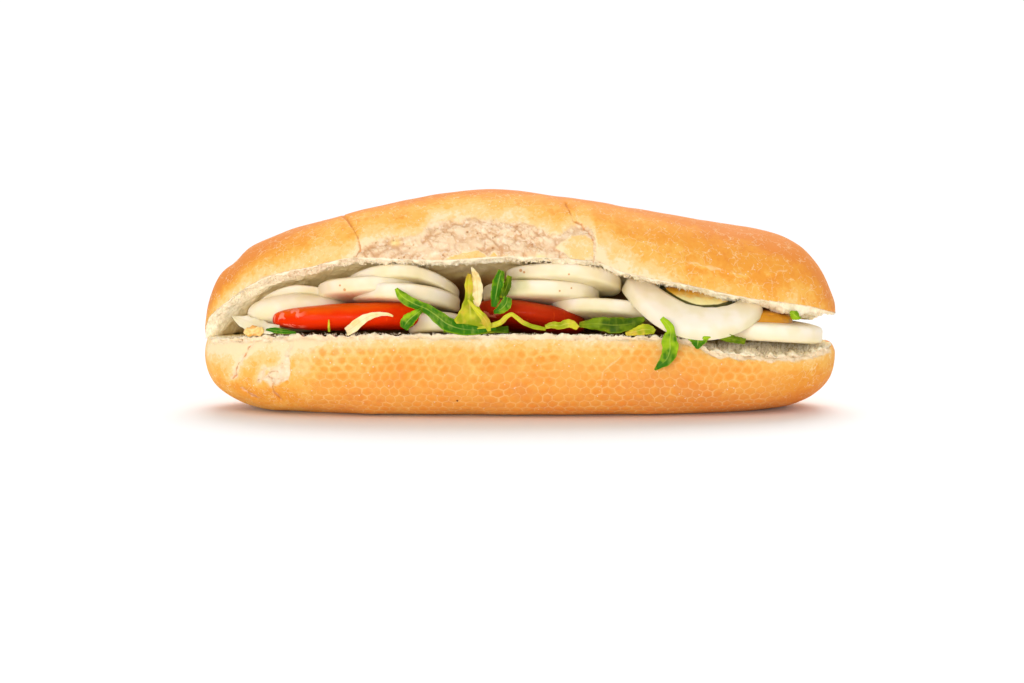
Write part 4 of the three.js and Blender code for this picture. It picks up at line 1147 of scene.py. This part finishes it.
def strip_piece(name, strip, seed):
    """A leaf strip: a path with a width carried along it, both faces on one grid with a round edge.

    Rows run round the section, out over the front face and home over the back face. The edges
    swing in long waves and small ruffles, and the blade folds a little along its middle.
    """
    steps, lanes = LEAF_GRID
    t = np.linspace(0, 1, steps)
    middle, across, normal = strip_frame(strip, t)
    width = even_curve(strip["widths"], t)
    thickness = strip.get("thickness", 0.9) * BLADE_SHARE
    span = np.linspace(-0.5, 0.5, lanes)
    share = np.concatenate([span, span[::-1]])[:, None]
    side = np.concatenate([np.ones(lanes), -np.ones(lanes)])[:, None]
    edge = np.abs(share) * 2
    swing = edge * np.sin(t * math.pi * 3 + share * 3)
    lift = strip.get("wave", 0.7) * swing + strip.get("cup", 0) * (edge**2 - 0.3)
    ruffle = 0.16 * edge**3 * np.sin(t * width.mean() * 9 + seed + 2 * np.sign(share))
    vein = 0.16 * bell(share, 0.05) * side
    nick = 1 + 0.08 * edge**2 * np.sin(t * 31 + seed * 1.7 + np.sign(share)) * np.sin(t * 13 + seed)
    half = thickness / 2 * (1 - 0.75 * edge**6) * side
    offset = share * width[None, :] * nick
    rise = lift + ruffle + vein + half
    grid = middle[None] + across[None] * offset[..., None] + normal[None] * rise[..., None]
    face = [np.broadcast_to(part, offset.shape) for part in (share * 2, t, strip.get("shade", 0))]
    return tube_piece("fine_" + name, grid, {"face": np.stack(face, axis=-1)})


# Shaders


class Value:
    """A shader socket that Python arithmetic works on: each operator adds one Math node."""

    def __init__(self, shader, socket):
        self.shader, self.socket = shader, socket

    def _math(self, operation, a, b):
        return self.shader.node("Math", {"operation": operation}, {0: a, 1: b})

    def __add__(self, other):
        return self._math("ADD", self, other)

    def __radd__(self, other):
        return self._math("ADD", other, self)

    def __sub__(self, other):
        return self._math("SUBTRACT", self, other)

    def __rsub__(self, other):
        return self._math("SUBTRACT", other, self)

    def __mul__(self, other):
        return self._math("MULTIPLY", self, other)

    def __rmul__(self, other):
        return self._math("MULTIPLY", other, self)

    def __truediv__(self, other):
        return self._math("DIVIDE", self, other)

    def __pow__(self, other):
        return self._math("POWER", self, other)

    def __mod__(self, other):
        return self._math("FLOORED_MODULO", self, other)

    def __abs__(self):
        return self._math("ABSOLUTE", self, 0)


class Shader:
    """A material with one Principled shader, and short ways to make the nodes that feed it."""

    def __init__(self, name, **uniform):
        self.material = bpy.data.materials.new(name)
        self.material.use_nodes = True
        self.tree = self.material.node_tree
        self.surface = self.tree.nodes["Principled BSDF"]
        for key, value in uniform.items():
            self.surface.inputs[key.replace("_", " ")].default_value = value
        self.where = self.node("TexCoord", out="Object")

    def node(self, kind, settings=None, sockets=None, out=0):
        made = self.tree.nodes.new("ShaderNode" + kind)
        for key, value in (settings or {}).items():
            setattr(made, key, value)
        for key, value in (sockets or {}).items():
            if isinstance(value, Value):
                self.tree.links.new(value.socket, made.inputs[key])
            else:
                made.inputs[key].default_value = value
        return Value(self, made.outputs[out])

    def feed(self, socket, value):
        self.tree.links.new(value.socket, self.surface.inputs[socket])

    def attribute(self, name, out="Fac"):
        return self.node("Attribute", {"attribute_name": name}, out=out)

    def split(self, vector):
        """The three components of a vector."""
        parts = self.tree.nodes.new("ShaderNodeSeparateXYZ")
        self.tree.links.new(vector.socket, parts.inputs[0])
        return [Value(self, parts.outputs[k]) for k in range(3)]

    def step(self, value, low, high):
        """0 below low, 1 above high, smooth between."""
        return self.node("MapRange", {"interpolation_type": "SMOOTHSTEP"}, {0: value, 1: low, 2: high})

    def blend(self, a, b, mask):
        return self.node("Mix", {"data_type": "RGBA"}, {0: mask, 6: a, 7: b}, out=2)

    def ramp(self, value, stops):
        """Colours at rising values, blended between them."""
        tone = stops[0][1]
        for (low, _), (high, shade) in zip(stops[:-1], stops[1:]):
            tone = self.blend(tone, shade, self.step(value, low, high))
        return tone

    def larger(self, a, b):
        return self.node("Math", {"operation": "MAXIMUM"}, {0: a, 1: b})

    def smaller(self, a, b):
        return self.node("Math", {"operation": "MINIMUM"}, {0: a, 1: b})

    def noise(self, size_mm, detail=3.0, stretch=None):
        where = self.where
        if stretch:
            where = self.node("VectorMath", {"operation": "MULTIPLY"}, {0: where, 1: stretch})
        return self.node("TexNoise", {}, {"Vector": where, "Scale": 1 / (size_mm * MM), "Detail": detail})

    def wandering(self, size_mm, amount_mm):
        """Object coordinates pushed about by noise."""
        sockets = {"Vector": self.where, "Scale": 1 / (size_mm * MM)}
        drift = self.node("TexNoise", {}, sockets, out="Color")
        drift = self.node("VectorMath", {"operation": "SUBTRACT"}, {0: drift, 1: (0.5, 0.5, 0.5)})
        drift = self.node("VectorMath", {"operation": "SCALE"}, {0: drift, "Scale": amount_mm * MM * 2})
        return self.node("VectorMath", {"operation": "ADD"}, {0: self.where, 1: drift})

    def cells(self, size_mm, feature="F1", where=None):
        sockets = {"Vector": where or self.where, "Scale": 1 / (size_mm * MM)}
        return self.node("TexVoronoi", {"feature": feature}, sockets)

    def spots(self, places, edge=0.35):
        """1 inside round spots of [x, height, radius] as seen from the front, in millimetres."""
        x, _, z = self.split(self.where)
        x, z = x / MM - ORIGIN[0], z / MM - ORIGIN[2]
        wobble = (self.noise(0.8, 2.0) - 0.5) * 0.5
        found = 0.0
        for a, b, radius in places:
            away = ((x - a) ** 2 + (z - b) ** 2) ** 0.5 / radius + wobble
            found = self.larger(found, 1 - self.step(away, 1 - edge, 1 + edge))
        return found

    def bump(self, height, distance_mm, strength=1.0):
        sockets = {"Height": height, "Distance": distance_mm * MM, "Strength": strength}
        self.feed("Normal", self.node("Bump", {}, sockets))


def colour(red, green, blue):
    """An sRGB colour of 0 to 255 as the linear values that shaders use."""
    parts = (red, green, blue)
    linear = [((c / 255 + 0.055) / 1.055) ** 2.4 if c > 10 else c / 255 / 12.92 for c in parts]
    return (*linear, 1.0)


def bread_material():
    """Crust by how well it is baked, with its print, fine cracks and specks, painted shade in its cracks,
    and bare crumb.
    """
    s = Shader(
        "bread", Specular_IOR_Level=0.12, Subsurface_Weight=0.08, Subsurface_Radius=(1.0, 0.5, 0.2),
        Subsurface_Scale=0.003)
    edge = s.attribute("crust") + (s.noise(1.1, 4.0) - 0.5) * 1.1
    crusty = s.step(edge, -0.4, 0.5)
    bake = s.attribute("bake") + (s.noise(5.5, 3.0) - 0.5) * 0.6 + (s.noise(1.3, 3.0) - 0.5) * 0.5
    tone = s.ramp(bake, CRUST_TONES)
    tone, print_height = honeycomb(s, tone)
    tone, skin = craquelure(s, tone)
    tone = s.blend(tone, colour(255, 226, 176), (1 - s.step(s.attribute("fold"), 0.1, 0.5)) * 0.4)
    tone = s.blend(tone, colour(120, 52, 20), s.spots(CRUST_SPECKS))
    crumb, loose = bare_crumb(s)
    # The darker orange line along the cracks and seams is painted shade in them.
    seam = s.attribute("seam") + (s.noise(0.8) - 0.5) * 0.4
    tone = s.blend(crumb, tone, crusty)
    s.feed("Base Color", s.blend(tone, colour(214, 126, 52), (1 - s.step(seam, 0.0, 0.34)) * 0.7))
    skin = skin + print_height + s.noise(2.2, 5.0) * 0.3
    s.bump(s.node("Mix", {"data_type": "FLOAT"}, {0: crusty, 2: loose, 3: skin}), 0.35, 0.8)
    s.feed("Roughness", 0.78 - crusty * 0.22)
    return s.material


def honeycomb(s, tone):
    """The tray's print: orange cells in a pale net, of uneven width and strength."""
    u, v, shown = s.split(s.attribute("cells", "Vector"))
    u = u + (s.noise(3.0, 1.0) - 0.5) * 0.45
    v = v + (s.noise(3.4, 1.0) - 0.5) * 0.45
    hexagon = hexagon_distance(u, v, s.larger, s.smaller) + (s.noise(1.2) - 0.5) * 0.06
    strength = shown * s.step(s.noise(12, 2.0), 0.3, 0.6)
    _, _, height = s.split(s.where)
    lower = 1 - s.step(height / MM, 9.0, 20.0)
    dot = (1 - s.step(hexagon, 0.2, 0.42)) * strength * s.step(s.noise(4.0, 1.0), 0.2, 0.6)
    tone = s.blend(tone, colour(255, 212, 142), shown * 0.15)
    tone = s.blend(tone, colour(242, 142, 32), dot * (0.62 - lower * 0.2))
    net = s.step(hexagon + (s.noise(3.2) - 0.5) * 0.2, 0.43, 0.5) * shown
    tone = s.blend(tone, colour(255, 218, 150), net * (0.18 + lower * 0.24))
    return tone, hexagon * shown * -0.25


def craquelure(s, tone):
    """Pale hairlines in short curled pieces, and tiny white dots."""
    lines = 0.0
    for size, wander, start in ((3.3, 1.7, 0.5), (6.5, 2.6, 0.46)):
        web = s.cells(size, "DISTANCE_TO_EDGE", s.wandering(size * 0.6, wander))
        broken = s.step(s.noise(size * 0.8, 2.0), start, start + 0.08)
        lines = s.larger(lines, (1 - s.step(web, 0.0, 0.13 / size)) * broken)
    _, _, printed = s.split(s.attribute("cells", "Vector"))
    lines = lines * (1 - printed)
    tone = s.blend(tone, colour(255, 230, 180), lines * 0.52)
    dots = 1 - s.step(s.cells(1.9), 0.05, 0.17)
    dots = dots * s.step(s.noise(5, 2.0), 0.5, 0.62)
    tone = s.blend(tone, colour(255, 243, 220), dots * 0.8)
    return tone, lines * 0.2 + dots * 0.4


def bare_crumb(s):
    """Crumb with painted shade in the creases between its lumps and in small pits, yellow stains, and
    painted shade deeper inside.
    """
    crease, stain_and_shade, fresh = s.split(s.attribute("crumb", "Vector"))
    tone = s.blend(colour(246, 218, 180), colour(234, 198, 154), s.step(s.noise(4.0, 3.0), 0.35, 0.7))
    tone = s.blend(tone, colour(255, 243, 212), fresh)
    # Painted shade in the creases between lumps, under peeling crust, between tufts and in the bare
    # patch's furrows.
    tone = s.blend(tone, colour(198, 138, 86), crease * 0.75)
    tone = s.blend(tone, colour(254, 236, 208), s.step(s.noise(1.5, 4.0), 0.52, 0.66) * 0.5)
    tone = s.blend(tone, colour(214, 176, 118), fresh * s.step(s.noise(2.4, 4.0), 0.46, 0.62) * 0.22)
    # Yellow: yolk stains on the torn front, and painted shade deeper in on the cut.
    tone = s.blend(tone, colour(250, 220, 132), s.step(stain_and_shade, 0.1, 1.0) * 0.8)
    # Brown far inside the cut: painted shade.
    tone = s.blend(tone, colour(176, 112, 40), s.step(stain_and_shade, 1.0, 2.0) * 0.85)
    # Darker pits: painted shade in them.
    pits = (1 - s.step(s.cells(2.0), 0.1, 0.24)) * s.step(s.noise(4), 0.48, 0.6) * (1 - fresh)
    tone = s.blend(tone, colour(194, 128, 68), pits * 0.8)
    strands = s.noise(1.0, 4.0, (1, 1, 0.3))
    return tone, s.noise(1.6, 4.0) * 0.9 + strands - pits - crease * 0.5


def egg_white(name):
    """Translucent ivory with yellow-green painted shade underneath, faint blotches and brown specks."""
    s = Shader(
        name, Specular_IOR_Level=0.2, Subsurface_Weight=0.35, Subsurface_Radius=(1.0, 0.85, 0.4),
        Subsurface_Scale=0.003)
    _, _, through = s.split(s.attribute("face", "Vector"))
    tone = s.blend(colour(250, 236, 216), colour(242, 227, 192), s.step(s.noise(8, 2.0), 0.35, 0.65))
    # Yellow-green on the underside: painted shade.
    tone = s.blend(tone, colour(222, 208, 136), (1 - s.step(through, -1.1, 0.7)) * 0.5)
    tone = s.blend(tone, colour(252, 230, 206), s.step(s.noise(13, 1.0), 0.56, 0.72) * 0.3)
    tone = s.blend(tone, colour(206, 140, 62), s.spots(EGG_SPECKS) * 0.8)
    tone = s.blend(tone, colour(206, 206, 130), s.spots(EGG_GREEN, 0.6) * 0.5)
    s.feed("Base Color", tone)
    s.feed("Roughness", 0.28 + s.noise(5.0) * 0.18)
    s.bump(s.noise(1.8, 4.0), 0.1, 0.35)
    return s, tone


def ring_white_material():
    """Egg white of the slice that still holds its yolk: the hollow round the yolk is dark green, partly
    the yolk's green layer and partly painted shade.
    """
    s, white = egg_white("ring_egg_white")
    along, across, through = s.split(s.attribute("face", "Vector"))
    radius = socket_radius(along, across) + (s.noise(7, 1.0) - 0.5) * 0.03
    hollow = (1 - s.step(radius, 0.985, 1.02)) * s.step(through, 0.4, 0.6)
    # Dark green in the hollow round the yolk: partly the yolk's green layer, partly painted shade.
    s.feed("Base Color", s.blend(white, colour(104, 106, 50), hollow))
    return s.material


def yolk_material(name, pale, deep, ring):
    """Crumbly yolk, paler and deeper by turns, with a ring round it; yolk 10's is dark green, partly
    painted shade in the gap.
    """
    s = Shader(
        name, Roughness=0.42, Subsurface_Weight=0.2, Subsurface_Radius=(1.0, 0.6, 0.1),
        Subsurface_Scale=0.002)
    along, across, _ = s.split(s.attribute("face", "Vector"))
    radius = (along * along + across * across) ** 0.5 + (s.noise(5, 2.0) - 0.5) * 0.05
    tone = s.blend(pale, deep, s.step(s.noise(5, 3.0) * 0.6 + across * 0.6, -0.12, 0.16))
    # The ring round the yolk; on yolk 10 it is dark partly as painted shade in the gap.
    tone = s.blend(tone, ring, s.step(radius, 0.97 - YOLK_GAP_SHARE, 1 - YOLK_GAP_SHARE))
    s.feed("Base Color", tone)
    s.bump(s.noise(1.0, 5.0), 0.25, 0.5)
    return s.material


def tomato_material(name, skin, flesh):
    """Wet red skin round the rim, with an orange band where the upper cut meets it, painted shade on its
    lower side, and torn flesh with painted wet highlights at its left end.
    """
    s = Shader(
        name, Specular_IOR_Level=0.02, Coat_Weight=0.04, Coat_Roughness=0.06,
        Subsurface_Weight=0.08, Subsurface_Radius=(1.0, 0.2, 0.05), Subsurface_Scale=0.003)
    along, _, through = s.split(s.attribute("face", "Vector"))
    wander = through + (s.noise(8, 2.0) - 0.5) * 0.7 - along * 0.2
    tone = s.blend(skin, flesh, s.step(wander, 0.1, 0.95))
    # Dark red on the lower side: painted shade.
    tone = s.blend(tone, colour(168, 14, 0), (1 - s.step(wander, -1.0, 0.0)) * 0.6)
    streaks = s.noise(1.4, 4.0, (1, 1, 0.35))
    tone = s.blend(tone, colour(250, 96, 20), s.step(streaks, 0.6, 0.8) * 0.25)
    # Pale pink patches at the left end: torn flesh, with painted wet highlights.
    torn = s.step(s.noise(3.2, 4.0), 0.52, 0.6) * (1 - s.step(along, -0.66, -0.5))
    tone = s.blend(tone, colour(255, 140, 116), torn * 0.8)
    s.feed("Base Color", tone)
    s.feed("Roughness", 0.26 + s.noise(3.0) * 0.2)
    s.bump(s.noise(3.2, 3.0) + torn * 0.6, 0.4, 0.5)
    return s.material


def leaf_material(name, light, dark, vein, aged):
    """A satin leaf with a pale middle vein, faint branches and darker blotches."""
    s = Shader(
        name, Specular_IOR_Level=0.08, Subsurface_Weight=0.2, Subsurface_Radius=(0.8, 1.0, 0.1),
        Subsurface_Scale=0.001)
    share, along, shade = s.split(s.attribute("face", "Vector"))
    out = abs(share)
    darker = s.noise(5.0, 2.0) + (along - 0.5) * 0.2 + shade * 0.26
    tone = s.blend(light, dark, s.step(darker, 0.36, 0.66))
    tone = s.blend(tone, light, s.step(out, 0.75, 0.98) * 0.5)
    streaks = s.step(s.noise(1.6, 3.0, (1, 1, 0.4)), 0.5, 0.75)
    tone = s.blend(tone, vein, streaks * 0.18)
    tone = s.blend(tone, aged, s.step(s.noise(4.5, 2.0) - shade * 0.1, 0.52, 0.68) * 0.7)
    rib = (1 - s.step(out + (s.noise(2.0) - 0.5) * 0.06, 0.02, 0.13)) * (1 - s.step(along, 0.6, 0.95))
    tone = s.blend(tone, vein, rib * 0.3)
    s.feed("Base Color", tone)
    s.feed("Roughness", 0.36 + s.noise(3.0) * 0.2)
    s.bump(s.noise(1.5, 3.0) * 0.6 - rib * 0.4, 0.2, 0.6)
    return s.material


# Floor, light and camera


def floor():
    """A wide pale floor."""
    corners = np.array([[-1, -1, 0], [1, -1, 0], [1, 1, 0], [-1, 1, 0]]) * FLOOR_REACH
    mesh = bpy.data.meshes.new("floor")
    mesh.from_pydata(corners.tolist(), [], [(0, 1, 2, 3)])
    piece = bpy.data.objects.new("floor", mesh)
    bpy.context.scene.collection.objects.link(piece)
    s = Shader("floor_white", Roughness=0.8, Base_Color=(0.94, 0.93, 0.93, 1), Specular_IOR_Level=0.1)
    mesh.materials.append(s.material)


def lamp(kind, name, place, target, power):
    light = bpy.data.lights.new(name, kind)
    light.energy = power
    made = bpy.data.objects.new(name, light)
    made.location = place
    made.rotation_euler = (Vector(target) - Vector(place)).to_track_quat("-Z", "Y").to_euler()
    bpy.context.scene.collection.objects.link(made)
    return light


def lights():
    """A bright surround behind and a dim one in front, a soft sun from above the back, a front fill."""
    scene = bpy.context.scene
    world = bpy.data.worlds.new("surround")
    world.use_nodes = True
    nodes, links = world.node_tree.nodes, world.node_tree.links
    direction = nodes.new("ShaderNodeTexCoord").outputs["Generated"]
    parts = nodes.new("ShaderNodeSeparateXYZ")
    links.new(direction, parts.inputs[0])
    strength = nodes.new("ShaderNodeMapRange")
    for socket, value in zip((1, 2, 3, 4), (-0.35, 0.25, WORLD_FRONT, WORLD_BACK)):
        strength.inputs[socket].default_value = value
    links.new(parts.outputs["Y"], strength.inputs[0])
    links.new(strength.outputs[0], nodes["Background"].inputs["Strength"])
    nodes["Background"].inputs["Color"].default_value = (1, 1, 1, 1)
    scene.world = world
    sun = lamp("SUN", "back_sun", (0.1, 0.75, 1.0), (0, 0, 0), SUN_STRENGTH)
    sun.angle = math.radians(40)
    fill = lamp("AREA", "front_fill", (-0.3, -1.3, 0.16), (0, 0, 0.03), FILL_POWER)
    fill.shape = "RECTANGLE"
    fill.size, fill.size_y = 1.0, 0.28
    top_fill = lamp("AREA", "top_fill", (0.2, -0.8, 1.0), (0, 0, 0.03), TOP_FILL_POWER)
    top_fill.size = 0.9
    scene.view_settings.view_transform = "Standard"
    scene.view_settings.look = "None"


def camera():
    lens = bpy.data.cameras.new("camera")
    lens.sensor_width = SENSOR_WIDTH
    lens.lens = SENSOR_WIDTH * CAMERA_DISTANCE / (PHOTO_WIDTH * PIXEL_AT_TARGET)
    lens.clip_start = 0.01
    lens.clip_end = 200.0
    made = bpy.data.objects.new("camera", lens)
    target = Vector(CAMERA_TARGET) + Vector((0, ORIGIN[1] * MM, 0))
    back = Vector((0, -math.cos(CAMERA_ELEVATION), math.sin(CAMERA_ELEVATION)))
    made.location = target + back * CAMERA_DISTANCE
    made.rotation_euler = (-back).to_track_quat("-Z", "Y").to_euler()
    bpy.context.scene.collection.objects.link(made)
    bpy.context.scene.camera = made


# Putting it together


def dress(piece, material, node=None):
    """Gives a piece its material and slot, hangs it under the root body, and hides the CAD node that it
    stands for.
    """
    piece.data.materials.append(material)
    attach(piece, "root")
    if node:
        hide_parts(node)


def materials_of(kind, colours):
    """A material of one kind for each row of a table of colours."""
    return {name: kind(name, *(colour(*tone) for tone in tones)) for name, tones in colours.items()}


def build():
    bread = bread_material()
    dress(bread_base(), bread, "bread_base")
    dress(bread_crown(), bread, "bread_crown")
    for piece in rim_crumbs():
        dress(piece, bread)
    white = egg_white("boiled_egg_white")[0].material
    ring = ring_white_material()
    yolks = materials_of(yolk_material, YOLK_COLOURS)
    tomatoes = materials_of(tomato_material, TOMATO_COLOURS)
    strips = {"egg_white": white, **materials_of(leaf_material, LEAF_COLOURS)}
    for seed, (name, piece) in enumerate(SLICES.items()):
        made = slice_piece(name, piece, seed + 100)
        if name in tomatoes:
            dress(made, tomatoes[name], name)
        elif name in yolks:
            dress(made, yolks[name], name)
        else:
            dress(made, ring if name == "egg_slice_10" else white, name)
    for seed, (name, strip) in enumerate(STRIPS.items()):
        dress(strip_piece(name, strip, seed + 200), strips[strip["slot"]], name)


build()
floor()
lights()
camera()
